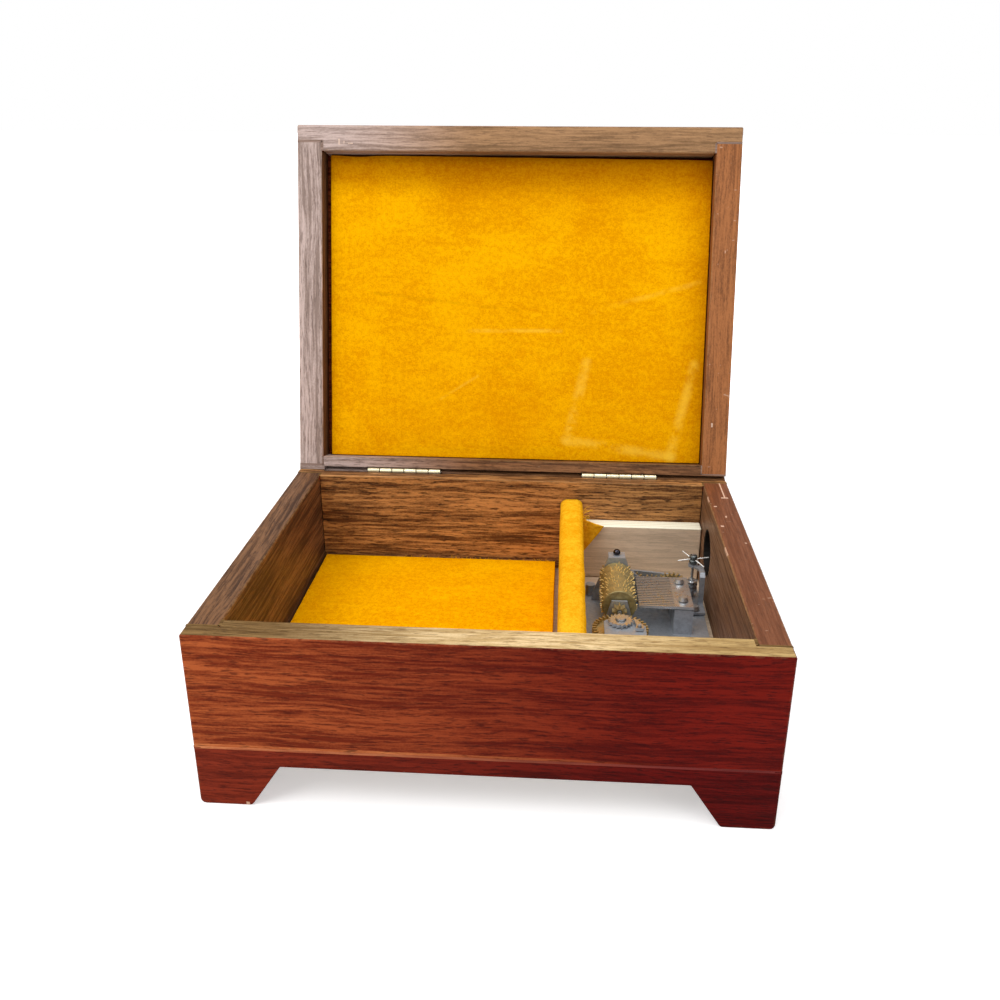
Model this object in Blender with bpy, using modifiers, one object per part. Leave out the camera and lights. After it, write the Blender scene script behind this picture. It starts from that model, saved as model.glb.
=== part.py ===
"""Musical jewelry box: walnut case on bracket feet, hinged lid, velvet lining
and a pinned-cylinder music movement. Metres, +Z up, front face towards -Y.
The box stands open, with its lid leaning back on its stop."""
import math

import bmesh
import bpy
from mathutils import Matrix, Vector

MM = 0.001

# Case
WIDTH = 165 * MM
DEPTH = 132 * MM
HEIGHT = 56 * MM
WALL = 9.2 * MM
BASE_HEIGHT = 19.4 * MM
FOOT_WIDTH = 15.2 * MM
FOOT_SLOPE = 9.2 * MM
CUTOUT_HEIGHT = 13.8 * MM
LAP = 3.6 * MM
EDGE_ROUND = 0.35 * MM
FOOT_ROUND = 1.5 * MM
FOOT_STEPS = 3
BOARD_THICK = 3.2 * MM
BOARD_LEDGE = 4.0 * MM
JOINT_GAP = 0.3 * MM
CUT_PAST = 1.0 * MM
CUT_FAR = 5.0 * MM
UNION_LAP = 0.3 * MM

# Lid
LID_OPEN_DEG = 104.4
LID_RAIL = 9.2 * MM
LID_REAR_RAIL = 7.8 * MM
LID_RAIL_HEIGHT = 10.5 * MM
LID_PANEL_THICK = 4.5 * MM
RIM_GAP = 0.3 * MM
AXIS_FROM_REAR = 2.6 * MM

# Hinges
HINGE_LENGTH = 28.6 * MM
HINGE_LEFT_X = -41.3 * MM
HINGE_RIGHT_X = 41.9 * MM
KNUCKLES = 6
KNUCKLE_RADIUS = 1.15 * MM
KNUCKLE_BORE = 0.65 * MM
HINGE_PIN_RADIUS = 0.38 * MM
KNUCKLE_GAP = 0.3 * MM
TAB_INSET = 0.05 * MM
LEAF_THICK = 0.7 * MM
LEAF_DEPTH = 6.0 * MM
KERF_WIDTH = 1.3 * MM
KERF_EXTRA_DEPTH = 0.4 * MM
KERF_TILT_DEG = 25.0
KERF_STOP = 9.7 * MM
MOUTH_HALF = 1.25 * MM
MOUTH_DEPTH = 0.8 * MM
BARREL_COVE = 1.5 * MM

# Lining
PAD_THICK = 4.0 * MM
PAD_CROWN = 0.35 * MM
PAD_DRAW = 0.5 * MM
PAD_RIM = 0.1
PARTITION_THICK = 5.8 * MM
PARTITION_BELOW_RIM = 6.6 * MM
PARTITION_FROM_RIGHT = 49.2 * MM
VELVET_THICK = 1.25 * MM
SOFT_GAP = 0.3 * MM
FLAP_REACH = 8.6 * MM
FLAP_DROP = 14.0 * MM
FLAP_THICK = 0.6 * MM
FLAP_RISE = 3.6 * MM
FLAP_TIP = 0.9 * MM
FOLD_SHARE = 0.55
LEDGE_THICK = 6.0 * MM
LEDGE_BELOW_RIM = 14.9 * MM
LID_VELVET_THICK = 5.5 * MM
LID_VELVET_MARGIN = 0.4 * MM
LID_VELVET_LEFT = 2.0 * MM
LID_VELVET_FRONT = 0.9 * MM
LID_VELVET_CROWN = 0.5 * MM

# Music movement, placed from the right wall, the rear wall and the board
MODULE = 0.5 * MM
TOOTH_BACKLASH = 0.3 * MM
TOOTH_ROOT = 1.25
TOOTH_TIP = 0.5
HUB_FROM_WALL = 5.2 * MM
HUB_FROM_REAR_WALL = 24.8 * MM
CYLINDER_RISE = 12.8 * MM
TRAIN_RISE = 6.3 * MM
SECOND_RISE = 8.0 * MM
CYLINDER_RADIUS = 5.8 * MM
CYLINDER_LENGTH = 22.4 * MM
PIN_HEIGHT = 0.6 * MM
PIN_WIDTH = 0.42 * MM
PINS = 96
NOTES = 18
ARBOR_RADIUS = 0.9 * MM
PINION_SEAT_RADIUS = 0.7 * MM
PIVOT_RADIUS = 0.5 * MM
PIVOT_GAP = 0.3 * MM
PLATE_THICK = 1.0 * MM
WHEEL_THICK = 1.0 * MM
AXIAL_GAP = 0.3 * MM
CYLINDER_GEAR_TEETH = 22
CYLINDER_PINION_TEETH = 8
CROWN_TEETH = 34
TRAIN_PINION_TEETH = 9
TRAIN_WHEEL_TEETH = 20
WORM_WHEEL_TEETH = 22
WORM_PITCH_RADIUS = 1.8 * MM
WORM_THICK = 1.6 * MM
WORM_TURNS = 3.0
WORM_FACETS = 16
COMB_THICK = 1.0 * MM
COMB_TIP_GAP = 0.35 * MM
COMB_TOOTH_LENGTH = 12.0 * MM
COMB_HEEL = 6.25 * MM
COMB_SLOT = 0.4 * MM
COMB_TOP_OVER_AXIS = 0.6 * MM
BED_THICK = 2.0 * MM
BED_FOOT = 0.7 * MM
BED_SCREW_INSET = 2.3 * MM
BED_LEFT_MARGIN = 11.2 * MM
BED_RIGHT_MARGIN = 2.0 * MM
BED_FRONT_MARGIN = 13.5 * MM
BED_REAR_MARGIN = 3.6 * MM
BARREL_RADIUS = 9.0 * MM
BARREL_WALL = 0.7 * MM
BARREL_COVER = 0.75 * MM
CROWN_FACE = 1.4 * MM
CROWN_GAP = 0.25 * MM
BRIDGE_GAP = 0.5 * MM
MAINSPRING_THICK = 0.3 * MM
MAINSPRING_TURNS = 5
MAINSPRING_STEPS = 16
DRIVE_PINION_LENGTH = 2.6 * MM
BRIDGE_THICK = 1.1 * MM
RATCHET_THICK = 1.0 * MM
GOVERNOR_TOP_REACH = 0.3 * MM
WINDING_ARBOR_RADIUS = 1.5 * MM
RATCHET_RADIUS = 4.2 * MM
RATCHET_TEETH = 16
RATCHET_DEPTH = 0.9 * MM
KEY_SPAN = 21.0 * MM
KEY_THICK = 1.6 * MM
KEY_CLEARANCE = 2.5 * MM
KEY_BOSS_RADIUS = 3.4 * MM
SCREW_RADIUS = 1.2 * MM
SCREW_HEAD_RADIUS = 2.4 * MM
SCREW_HEAD_HEIGHT = 1.3 * MM
FLY_ARM = 5.7 * MM
FLY_WIRE = 0.25 * MM
FLY_HUB_RADIUS = 1.0 * MM
FLY_HUB_HEIGHT = 3.2 * MM
FLY_RISE = 17.8 * MM
FLY_ANGLES_DEG = (8.0, 115.0)
ARBOR_END = 0.8 * MM
PIVOT_DEPTH = 0.7 * MM
THREAD_FOOT = 0.84 * MM
THREAD_TIP = 0.4 * MM
THREAD_SUNK = 0.2 * MM
THREAD_STEPS = 18
PIN_SUNK = 0.4 * MM
PIN_TRACK_STEP = 7
BRACKET_LEFT = 8.4 * MM
BRACKET_LEFT_RISE = 2.5 * MM
BRACKET_WAIST = 6.2 * MM
BRACKET_WAIST_DROP = 1.5 * MM
BRACKET_NECK = 4.5 * MM
BRACKET_NECK_RISE = 3.2 * MM
BRACKET_OVER_DRUM = 1.5 * MM
BRACKET_SHOULDER = 8.6 * MM
BRACKET_SHOULDER_REACH = 9.4 * MM
PLATE_PAST_PIVOT = 3.4 * MM
REAR_PLATE_LEFT = 4.5 * MM
REAR_PLATE_CREST = 2.5 * MM
REAR_PLATE_DROP = 1.2 * MM
FLANGE_HALF = 3.0 * MM
FLANGE_DEPTH = 4.1 * MM
FLANGE_THICK = 0.8 * MM
FLANGE_SCREW_BACK = 2.2 * MM
DOME_RADIUS = 1.3 * MM
DOME_COLLAR = 0.5 * MM
DOME_SHANK = 1.3 * MM
FRONT_BRACKET_HALF = 6.0 * MM
FRONT_BRACKET_TOP = 2.6 * MM
FRONT_FOOT_INSET = 0.6 * MM
FRONT_FOOT_DEPTH = 6.0 * MM
FRONT_FOOT_THICK = 1.0 * MM
BRIDGE_HALF = 5.4 * MM
BRIDGE_INSET = 0.6 * MM
BRIDGE_PAST_CLICK = 2.2 * MM
BRIDGE_LEG = 1.3 * MM
BRIDGE_NOTCH = 1.6 * MM
BRIDGE_SHOULDER = 1.0 * MM
BRIDGE_NOSE = 4.4 * MM
BRIDGE_NOSE_HALF = 2.4 * MM
STRIP_THICK = 0.9 * MM
STRIP_HALF = 0.9 * MM
STRIP_SIDE = 2.6 * MM
STRIP_FLY_GAP = 2.6 * MM
STRIP_BEND = 1.0 * MM
STRIP_HEAD_BACK = 1.2 * MM
STRIP_EYE = 1.7 * MM
STRIP_ARM_ROOT = 4.2 * MM
BRIDGE_FOOT_GAP = 7.4 * MM
BRIDGE_FOOT_HALF = 2.4 * MM
CLICK_PIVOT_OUT = 1.6 * MM
CLICK_PIVOT_FRONT = 4.4 * MM
CLICK_TAIL = 1.3 * MM
CLICK_BEAK = 0.9 * MM
CLICK_DEPTH = 0.25 * MM
CLICK_GAP = 0.15 * MM
CLICK_NOSE = 0.35 * MM
CLICK_TIP_SHARE = 0.62
TOOTH_LAND = 0.12
TOOTH_END = 0.999
KEY_HOLE_RADIUS = 3.0 * MM
KEY_TOP_GAP = 1.2 * MM
KEY_BOSS_DROP = 2.6 * MM
KEY_BOSS_RISE = 3.4 * MM
KEY_SOCKET_RISE = 4.2 * MM
COMB_SHANK = 4.0 * MM
STRIP_SHANK = 2.2 * MM
BOARD_SHANK_PAST = 2.2 * MM
DOME_HEAD_SHARE = 0.72
DOME_HEAD_TOP_SHARE = 0.5
POST_RADIUS = 1.7 * MM
POST_RISE = 4.2 * MM
SLOT_GAP = 0.2 * MM
POCKET_RADIUS = 8.3 * MM
POCKET_DEPTH = 4.5 * MM
POCKET_FROM_REAR_WALL = 20.9 * MM
POCKET_RISE = 18.6 * MM

# Places that follow from the sizes above
LID_TOP = LID_RAIL_HEIGHT + LID_PANEL_THICK
HINGE_OPEN = math.radians(LID_OPEN_DEG)
CHAMFER = HINGE_OPEN / 2
AXIS_Z = HEIGHT + RIM_GAP / 2
LEAN = HINGE_OPEN - math.pi / 2
LID_REACH = (DEPTH - AXIS_FROM_REAR) * math.sin(LEAN) + (LID_TOP + RIM_GAP / 2) * math.cos(LEAN)
OVERALL_DEPTH = DEPTH - AXIS_FROM_REAR + LID_REACH
FRONT_Y = -OVERALL_DEPTH / 2
REAR_Y = FRONT_Y + DEPTH
AXIS_Y = REAR_Y - AXIS_FROM_REAR
INNER_X = WIDTH / 2 - WALL
INNER_FRONT = FRONT_Y + WALL
INNER_REAR = REAR_Y - WALL
WALL_FOOT = BASE_HEIGHT + JOINT_GAP
BOARD_TOP = BASE_HEIGHT
BOARD_BOTTOM = BOARD_TOP - BOARD_THICK
PARTITION_X = INNER_X - PARTITION_FROM_RIGHT
PARTITION_TOP = HEIGHT - PARTITION_BELOW_RIM
VELVET_RIGHT = PARTITION_X + PARTITION_THICK / 2 + SOFT_GAP + VELVET_THICK
VELVET_LEFT = 2 * PARTITION_X - VELVET_RIGHT
LEDGE_TOP = HEIGHT - LEDGE_BELOW_RIM
LEDGE_FRONT = INNER_REAR - JOINT_GAP - LEDGE_THICK

HUB_X = INNER_X - HUB_FROM_WALL
HUB_Y = INNER_REAR - HUB_FROM_REAR_WALL
AXIS_RISE = BOARD_TOP + CYLINDER_RISE
TRAIN_Z = BOARD_TOP + TRAIN_RISE
SECOND_Z = BOARD_TOP + SECOND_RISE
CYLINDER_GEAR_R = CYLINDER_GEAR_TEETH * MODULE / 2
PINION_R = TRAIN_PINION_TEETH * MODULE / 2
WHEEL_R = TRAIN_WHEEL_TEETH * MODULE / 2
WORM_WHEEL_R = WORM_WHEEL_TEETH * MODULE / 2
CROWN_R = CROWN_TEETH * MODULE / 2
DRIVE_PINION_R = CYLINDER_PINION_TEETH * MODULE / 2
ADDENDUM = 0.84 * MODULE
DEDENDUM = 1.2 * MODULE
FOURTH_X = HUB_X - WORM_PITCH_RADIUS - WORM_WHEEL_R
THIRD_X = FOURTH_X - PINION_R - WHEEL_R
SECOND_X = THIRD_X - math.sqrt((PINION_R + WHEEL_R) ** 2 - (SECOND_Z - TRAIN_Z) ** 2)
CYLINDER_X = SECOND_X - math.sqrt((CYLINDER_GEAR_R + PINION_R) ** 2 - (AXIS_RISE - SECOND_Z) ** 2)
BED_BOTTOM = BOARD_TOP + JOINT_GAP + BED_FOOT
BED_TOP = BED_BOTTOM + BED_THICK
WORM_WHEEL_Y = HUB_Y
REAR_PLATE_Y = WORM_WHEEL_Y + WORM_THICK / 2 + AXIAL_GAP
THIRD_WHEEL_Y = WORM_WHEEL_Y - WORM_THICK / 2 - AXIAL_GAP - WHEEL_THICK
SECOND_WHEEL_Y = THIRD_WHEEL_Y - AXIAL_GAP - WHEEL_THICK
CYLINDER_GEAR_Y = SECOND_WHEEL_Y - AXIAL_GAP - WHEEL_THICK
BRACKET_Y = CYLINDER_GEAR_Y - AXIAL_GAP - PLATE_THICK
CYLINDER_REAR = BRACKET_Y - AXIAL_GAP
CYLINDER_FRONT = CYLINDER_REAR - CYLINDER_LENGTH
FRONT_BRACKET_Y = CYLINDER_FRONT - AXIAL_GAP - PLATE_THICK
DRIVE_PINION_Y = FRONT_BRACKET_Y - AXIAL_GAP - DRIVE_PINION_LENGTH
BARREL_Y = DRIVE_PINION_Y + DRIVE_PINION_LENGTH / 2 - CROWN_R
CROWN_PITCH_Z = AXIS_RISE - DRIVE_PINION_R
CROWN_DISC_TOP = CROWN_PITCH_Z - DEDENDUM - CROWN_GAP
BARREL_TOP = CROWN_DISC_TOP - BARREL_COVER
BARREL_BOTTOM = BED_TOP + JOINT_GAP
BRIDGE_Z = CROWN_PITCH_Z + ADDENDUM + BRIDGE_GAP
RATCHET_Z = BRIDGE_Z + BRIDGE_THICK + AXIAL_GAP
FLY_Z = BOARD_TOP + FLY_RISE
GOVERNOR_TOP = FLY_Z + FLY_HUB_HEIGHT / 2 + GOVERNOR_TOP_REACH
BED_LEFT = CYLINDER_X - BED_LEFT_MARGIN
BED_RIGHT = INNER_X - BED_RIGHT_MARGIN
BED_FRONT = BARREL_Y - BED_FRONT_MARGIN
BED_REAR = REAR_PLATE_Y + PLATE_THICK + BED_REAR_MARGIN
COMB_TOP = AXIS_RISE + COMB_TOP_OVER_AXIS
COMB_BOTTOM = COMB_TOP - COMB_THICK
COMB_TIP_X = CYLINDER_X + CYLINDER_RADIUS + PIN_HEIGHT + COMB_TIP_GAP
COMB_PAD_LEFT = COMB_TIP_X + COMB_TOOTH_LENGTH
COMB_SCREW_X = COMB_PAD_LEFT + COMB_HEEL / 2
COMB_SCREW_YS = [CYLINDER_FRONT + CYLINDER_LENGTH * share for share in (0.2, 0.8)]
BRIDGE_FOOT_X = HUB_X
BRIDGE_FOOT_Y = HUB_Y - FLY_ARM - BRIDGE_FOOT_GAP

WALNUT = dict(color=(0.16, 0.065, 0.032), roughness=0.42)
WALNUT_DARK = dict(color=(0.11, 0.04, 0.02), roughness=0.4)
WALNUT_LID = dict(color=(0.13, 0.07, 0.045), roughness=0.5)
PLY = dict(color=(0.62, 0.5, 0.36), roughness=0.7)
VELVET = dict(color=(0.85, 0.4, 0.01), roughness=0.95)
ZINC = dict(color=(0.5, 0.5, 0.49), roughness=0.45, metallic=0.9)
BRASS = dict(color=(0.72, 0.55, 0.26), roughness=0.3, metallic=1.0)
PALE_BRASS = dict(color=(0.8, 0.74, 0.5), roughness=0.35, metallic=0.9)
STEEL = dict(color=(0.55, 0.55, 0.55), roughness=0.3, metallic=1.0)
DARK_STEEL = dict(color=(0.06, 0.06, 0.065), roughness=0.35, metallic=0.9)


def clear_scene():
    """Empty the scene and make one collection for the box and one for its cutters."""
    for obj in list(bpy.data.objects):
        bpy.data.objects.remove(obj, do_unlink=True)
    made = []
    for title in ("musical_jewelry_box", "cutters"):
        collection = bpy.data.collections.new(title)
        bpy.context.scene.collection.children.link(collection)
        made.append(collection)
    return made


PARTS, CUTTERS = clear_scene()


def material(name, color, roughness, metallic=0.0):
    """A Principled material with one colour."""
    mat = bpy.data.materials.new(name)
    mat.use_nodes = True
    shader = mat.node_tree.nodes["Principled BSDF"]
    shader.inputs["Base Color"].default_value = (*color, 1.0)
    shader.inputs["Roughness"].default_value = roughness
    shader.inputs["Metallic"].default_value = metallic
    return mat


def add_object(name, bm, look, smooth=False):
    """Turn a bmesh into a named part with its own material."""
    bmesh.ops.recalc_face_normals(bm, faces=bm.faces[:])
    mesh = bpy.data.meshes.new(name)
    bm.to_mesh(mesh)
    bm.free()
    obj = bpy.data.objects.new(name, mesh)
    if look is None:
        CUTTERS.objects.link(obj)
        obj.hide_render = True
        obj.display_type = "WIRE"
    else:
        PARTS.objects.link(obj)
        mesh.materials.append(material(name, **look))
    if smooth:
        mesh.shade_smooth()
        mesh.set_sharp_from_angle(angle=math.radians(35))
    return obj


def box_bmesh(lo, hi):
    """A closed box between two corners."""
    bm = bmesh.new()
    size = [b - a for a, b in zip(lo, hi)]
    centre = [(a + b) / 2 for a, b in zip(lo, hi)]
    matrix = Matrix.Translation(centre) @ Matrix.Diagonal((*size, 1.0))
    bmesh.ops.create_cube(bm, size=1.0, matrix=matrix)
    return bm


def box(name, lo, hi, look=None):
    """A box-shaped part, or a cutter where it has no look."""
    return add_object(name, box_bmesh(lo, hi), look)


TURN_TO = {
    "Z": Matrix.Identity(4),
    "Y": Matrix(((1, 0, 0, 0), (0, 0, -1, 0), (0, 1, 0, 0), (0, 0, 0, 1))),
    "X": Matrix(((0, 0, 1, 0), (1, 0, 0, 0), (0, 1, 0, 0), (0, 0, 0, 1))),
}


def cylinder_bmesh(start, length, radius, axis, segments=24, end_radius=None):
    """A closed cylinder or cone from start along +axis."""
    bm = bmesh.new()
    tip = radius if end_radius is None else end_radius
    bmesh.ops.create_cone(
        bm, cap_ends=True, segments=segments, radius1=radius, radius2=tip, depth=length)
    bmesh.ops.translate(bm, verts=bm.verts, vec=(0, 0, length / 2))
    along = {"X": Vector((1, 0, 0)), "Y": Vector((0, 1, 0)), "Z": Vector((0, 0, 1))}[axis]
    turn = Vector((0, 0, 1)).rotation_difference(along).to_matrix().to_4x4()
    bmesh.ops.transform(bm, matrix=Matrix.Translation(start) @ turn, verts=bm.verts)
    return bm


def cylinder(name, start, length, radius, axis, look=None, segments=24, end_radius=None):
    """A round part, or a round cutter where it has no look."""
    bm = cylinder_bmesh(start, length, radius, axis, segments, end_radius)
    return add_object(name, bm, look, smooth=True)


def outline_bmesh(loops, thickness, axis, at):
    """Flat outline filled and thickened: loops lie across axis, starting at height at."""
    curve = bpy.data.curves.new("outline", "CURVE")
    curve.dimensions = "2D"
    curve.fill_mode = "BOTH"
    curve.extrude = thickness / 2
    for loop in loops:
        spline = curve.splines.new("POLY")
        spline.points.add(len(loop) - 1)
        for point, (u, v) in zip(spline.points, loop):
            point.co = (u, v, 0.0, 1.0)
        spline.use_cyclic_u = True
    holder = bpy.data.objects.new("outline", curve)
    bpy.context.scene.collection.objects.link(holder)
    seen = holder.evaluated_get(bpy.context.evaluated_depsgraph_get())
    mesh = bpy.data.meshes.new_from_object(seen)
    bpy.data.objects.remove(holder)
    bm = bmesh.new()
    bm.from_mesh(mesh)
    bpy.data.meshes.remove(mesh)
    bmesh.ops.remove_doubles(bm, verts=bm.verts, dist=0.000002)
    shift = {"Z": (0, 0, at + thickness / 2), "Y": (0, at + thickness / 2, 0),
             "X": (at + thickness / 2, 0, 0)}[axis]
    bmesh.ops.transform(bm, matrix=Matrix.Translation(shift) @ TURN_TO[axis], verts=bm.verts)
    return bm


def outline(name, loops, thickness, axis, at, look=None):
    """A flat part cut to an outline."""
    return add_object(name, outline_bmesh(loops, thickness, axis, at), look)


def circle(cx, cy, radius, segments=24):
    """Points of a circle."""
    step = 2 * math.pi / segments
    return [(cx + radius * math.cos(i * step), cy + radius * math.sin(i * step))
            for i in range(segments)]


def boolean(obj, other, operation="DIFFERENCE"):
    """Cut or join another object into a part; the other one becomes a hidden guide."""
    mod = obj.modifiers.new(operation.title(), "BOOLEAN")
    mod.operation = operation
    mod.solver = "EXACT"
    mod.object = other
    if other.name in PARTS.objects:
        PARTS.objects.unlink(other)
        CUTTERS.objects.link(other)
    other.hide_render = True
    other.display_type = "WIRE"


def bevel(obj, width=EDGE_ROUND, segments=1, angle=40):
    """Round the sharp edges of a part."""
    mod = obj.modifiers.new("Bevel", "BEVEL")
    mod.width = width
    mod.segments = segments
    mod.limit_method = "ANGLE"
    mod.angle_limit = math.radians(angle)
    return mod


def with_cutters(objects):
    """The pieces and every object that their Booleans use."""
    found = []
    for obj in objects:
        used = [m.object for m in obj.modifiers if m.type == "BOOLEAN"]
        found += [obj, *with_cutters(used)]
    return found


def hang_on(empty_name, location, objects, turn=0.0):
    """Parent pieces to an empty on their joint's axis, then turn it about X."""
    empty = bpy.data.objects.new(empty_name, None)
    empty.empty_display_size = CUT_FAR
    empty.location = location
    PARTS.objects.link(empty)
    for obj in with_cutters(objects):
        obj.parent = empty
        obj.matrix_parent_inverse = Matrix.Translation(location).inverted()
    empty.rotation_euler = (turn, 0.0, 0.0)
    return empty


# Case boards

def lapped_board(name, y_outer, inward, bottom, top, look):
    """Full-width board whose ends are rabbeted to take the side boards."""
    y_inner = y_outer + inward * WALL
    board = box(name, (-WIDTH / 2, min(y_outer, y_inner), bottom),
                (WIDTH / 2, max(y_outer, y_inner), top), look)
    for side in (-1, 1):
        y_lap = y_outer + inward * (WALL - LAP)
        y_past = y_inner + inward * CUT_PAST
        x_in = side * (INNER_X - JOINT_GAP)
        x_out = side * (WIDTH / 2 + CUT_PAST)
        cutter = box(f"{name}_lap", (min(x_in, x_out), min(y_lap, y_past), bottom - CUT_PAST),
                     (max(x_in, x_out), max(y_lap, y_past), top + CUT_PAST))
        boolean(board, cutter)
    return board


def side_board(name, side, bottom, top, look):
    """Side board that ends in the rabbets of the front and rear boards."""
    y0 = FRONT_Y + WALL - LAP + JOINT_GAP
    y1 = REAR_Y - WALL + LAP - JOINT_GAP
    x0, x1 = sorted((side * INNER_X, side * WIDTH / 2))
    return box(name, (x0, y0, bottom), (x1, y1, top), look)


def chamfer_cutter(name):
    """Wedge that clears the rear rim behind the hinge axis."""
    slope = math.tan(CHAMFER)
    gap = RIM_GAP / 2
    start = AXIS_Y - gap * (1 - math.cos(CHAMFER)) / math.sin(CHAMFER)
    points = [(start - CUT_FAR / slope, HEIGHT + CUT_FAR), (start + WALL, HEIGHT + CUT_FAR),
              (start + WALL, HEIGHT - WALL * slope)]
    return outline(name, [points], WIDTH + 2 * CUT_FAR, "X", -WIDTH / 2 - CUT_FAR)


def kerf_cutter(name):
    """Slot for the hinge leaves, stopped near the left end and open at the right."""
    tilt = math.radians(KERF_TILT_DEG)
    down = Vector((-math.sin(tilt), -math.cos(tilt)))
    across = Vector((math.cos(tilt), -math.sin(tilt))) * KERF_WIDTH / 2
    axis = Vector((AXIS_Y, AXIS_Z))
    deep = axis + down * (LEAF_DEPTH + KERF_EXTRA_DEPTH)
    high = axis - down * CUT_FAR
    points = [tuple(high - across), tuple(high + across), tuple(deep + across), tuple(deep - across)]
    x0 = -WIDTH / 2 + KERF_STOP
    return outline(name, [points], WIDTH - KERF_STOP + CUT_FAR, "X", x0)


def mouth_cutter(name):
    """Shallow wider mouth of the slot, as long as the slot."""
    return box(name, (-WIDTH / 2 + KERF_STOP, AXIS_Y - MOUTH_HALF, HEIGHT - MOUTH_DEPTH),
               (WIDTH / 2 + CUT_FAR, AXIS_Y + MOUTH_HALF, HEIGHT + CUT_FAR))


def cove_cutters(name):
    """Round coves that hold the hinge barrels."""
    return [cylinder(f"{name}_{i}", (x - HINGE_LENGTH / 2 - KNUCKLE_GAP, AXIS_Y, AXIS_Z),
                     HINGE_LENGTH + 2 * KNUCKLE_GAP, BARREL_COVE, "X", segments=16)
            for i, x in enumerate((HINGE_LEFT_X, HINGE_RIGHT_X))]


def flip_to_lid(objects):
    """Mirror cutters of the case across the rim plane, for the closed lid."""
    mirror = Matrix.Translation((0, 0, AXIS_Z)) @ Matrix.Diagonal((1, 1, -1, 1))
    mirror = mirror @ Matrix.Translation((0, 0, -AXIS_Z))
    for obj in objects:
        obj.data.transform(mirror)
        obj.data.flip_normals()


def rear_rim_cutters(name):
    """Everything that is cut from a rear rim: chamfer, kerf and barrel coves."""
    return [chamfer_cutter(f"{name}_chamfer"), kerf_cutter(f"{name}_kerf"), mouth_cutter(f"{name}_mouth"),
            *cove_cutters(f"{name}_cove")]


def case_walls():
    """Front, rear, left and right wall of the box."""
    front = lapped_board("front_wall", FRONT_Y, 1, WALL_FOOT, HEIGHT, WALNUT)
    rear = lapped_board("rear_wall", REAR_Y, -1, WALL_FOOT, HEIGHT, WALNUT)
    left = side_board("left_wall", -1, WALL_FOOT, HEIGHT, WALNUT)
    right = side_board("right_wall", 1, WALL_FOOT, HEIGHT, WALNUT)
    for cutter in rear_rim_cutters("rear_rim"):
        boolean(rear, cutter)
    for wall in (left, right):
        boolean(wall, chamfer_cutter(f"{wall.name}_chamfer"))
    pocket_y = INNER_REAR - POCKET_FROM_REAR_WALL
    pocket = cylinder("governor_pocket", (INNER_X - CUT_PAST, pocket_y, BOARD_TOP + POCKET_RISE),
                      POCKET_DEPTH + CUT_PAST, POCKET_RADIUS, "X", segments=32)
    boolean(right, pocket)
    boolean(right, kerf_cutter("right_kerf_end"))
    boolean(right, mouth_cutter("right_mouth_end"))
    for wall in (front, rear, left, right):
        bevel(wall)


def foot_cutout(name, length, axis, at):
    """Trapezoid between two bracket feet whose inner toes are rounded."""
    half = length / 2
    centre = 0.0 if axis == "Y" else (FRONT_Y + REAR_Y) / 2
    toe = half - FOOT_WIDTH
    high = toe - FOOT_SLOPE
    lean = math.atan2(FOOT_SLOPE, CUTOUT_HEIGHT)
    sweep = math.pi / 2 - lean
    round_x = toe + FOOT_ROUND * math.tan(math.pi / 4 - lean / 2)
    side = [(round_x, -CUT_PAST)]
    for i in range(FOOT_STEPS + 1):
        turn = -math.pi / 2 - sweep * i / FOOT_STEPS
        side.append((round_x + FOOT_ROUND * math.cos(turn), FOOT_ROUND + FOOT_ROUND * math.sin(turn)))
    side.append((high, CUTOUT_HEIGHT))
    right = [(centre + x, z) for x, z in side]
    left = [(centre - x, z) for x, z in reversed(side)]
    return outline(name, [right + left], WALL + 2 * CUT_FAR, axis, at)


def foot_edge_cutter(name):
    """Waste outside the rounded lower edges of the left and right feet."""
    edge = WIDTH / 2
    loop = [(edge + CUT_PAST, -CUT_PAST), (edge + CUT_PAST, FOOT_ROUND)]
    for i in range(FOOT_STEPS + 1):
        turn = -math.pi / 2 * i / FOOT_STEPS
        loop.append((edge + FOOT_ROUND * (math.cos(turn) - 1), FOOT_ROUND * (math.sin(turn) + 1)))
    loop.append((edge - FOOT_ROUND, -CUT_PAST))
    mirrored = [(-x, z) for x, z in reversed(loop)]
    return outline(name, [loop, mirrored], DEPTH + 2 * CUT_FAR, "Y", FRONT_Y - CUT_FAR)


def base_rails():
    """Four base rails with bracket feet, rabbeted inside for the bottom board."""
    front = lapped_board("front_base_rail", FRONT_Y, 1, 0.0, BASE_HEIGHT, WALNUT_DARK)
    rear = lapped_board("rear_base_rail", REAR_Y, -1, 0.0, BASE_HEIGHT, WALNUT_DARK)
    left = side_board("left_base_rail", -1, 0.0, BASE_HEIGHT, WALNUT_DARK)
    right = side_board("right_base_rail", 1, 0.0, BASE_HEIGHT, WALNUT_DARK)
    boolean(front, foot_cutout("front_cutout", WIDTH, "Y", FRONT_Y - CUT_FAR))
    boolean(rear, foot_cutout("rear_cutout", WIDTH, "Y", REAR_Y - WALL - CUT_FAR))
    boolean(left, foot_cutout("left_cutout", DEPTH, "X", -WIDTH / 2 - CUT_FAR))
    boolean(right, foot_cutout("right_cutout", DEPTH, "X", INNER_X - CUT_FAR))
    for rail in (front, rear, left, right):
        seat = box(f"{rail.name}_seat",
                   (-INNER_X - BOARD_LEDGE, INNER_FRONT - BOARD_LEDGE, BOARD_BOTTOM - JOINT_GAP),
                   (INNER_X + BOARD_LEDGE, INNER_REAR + BOARD_LEDGE, BASE_HEIGHT + CUT_PAST))
        boolean(rail, seat)
        boolean(rail, foot_edge_cutter(f"{rail.name}_edge"))
        bevel(rail)


def board_screw_places():
    """Where the movement is screwed up through the bottom board."""
    inset = BED_SCREW_INSET
    return [(BED_LEFT + inset, BED_FRONT + inset), (BED_RIGHT - inset, BED_FRONT + inset),
            (BED_LEFT + inset, BRACKET_Y + 2 * inset)]


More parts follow.
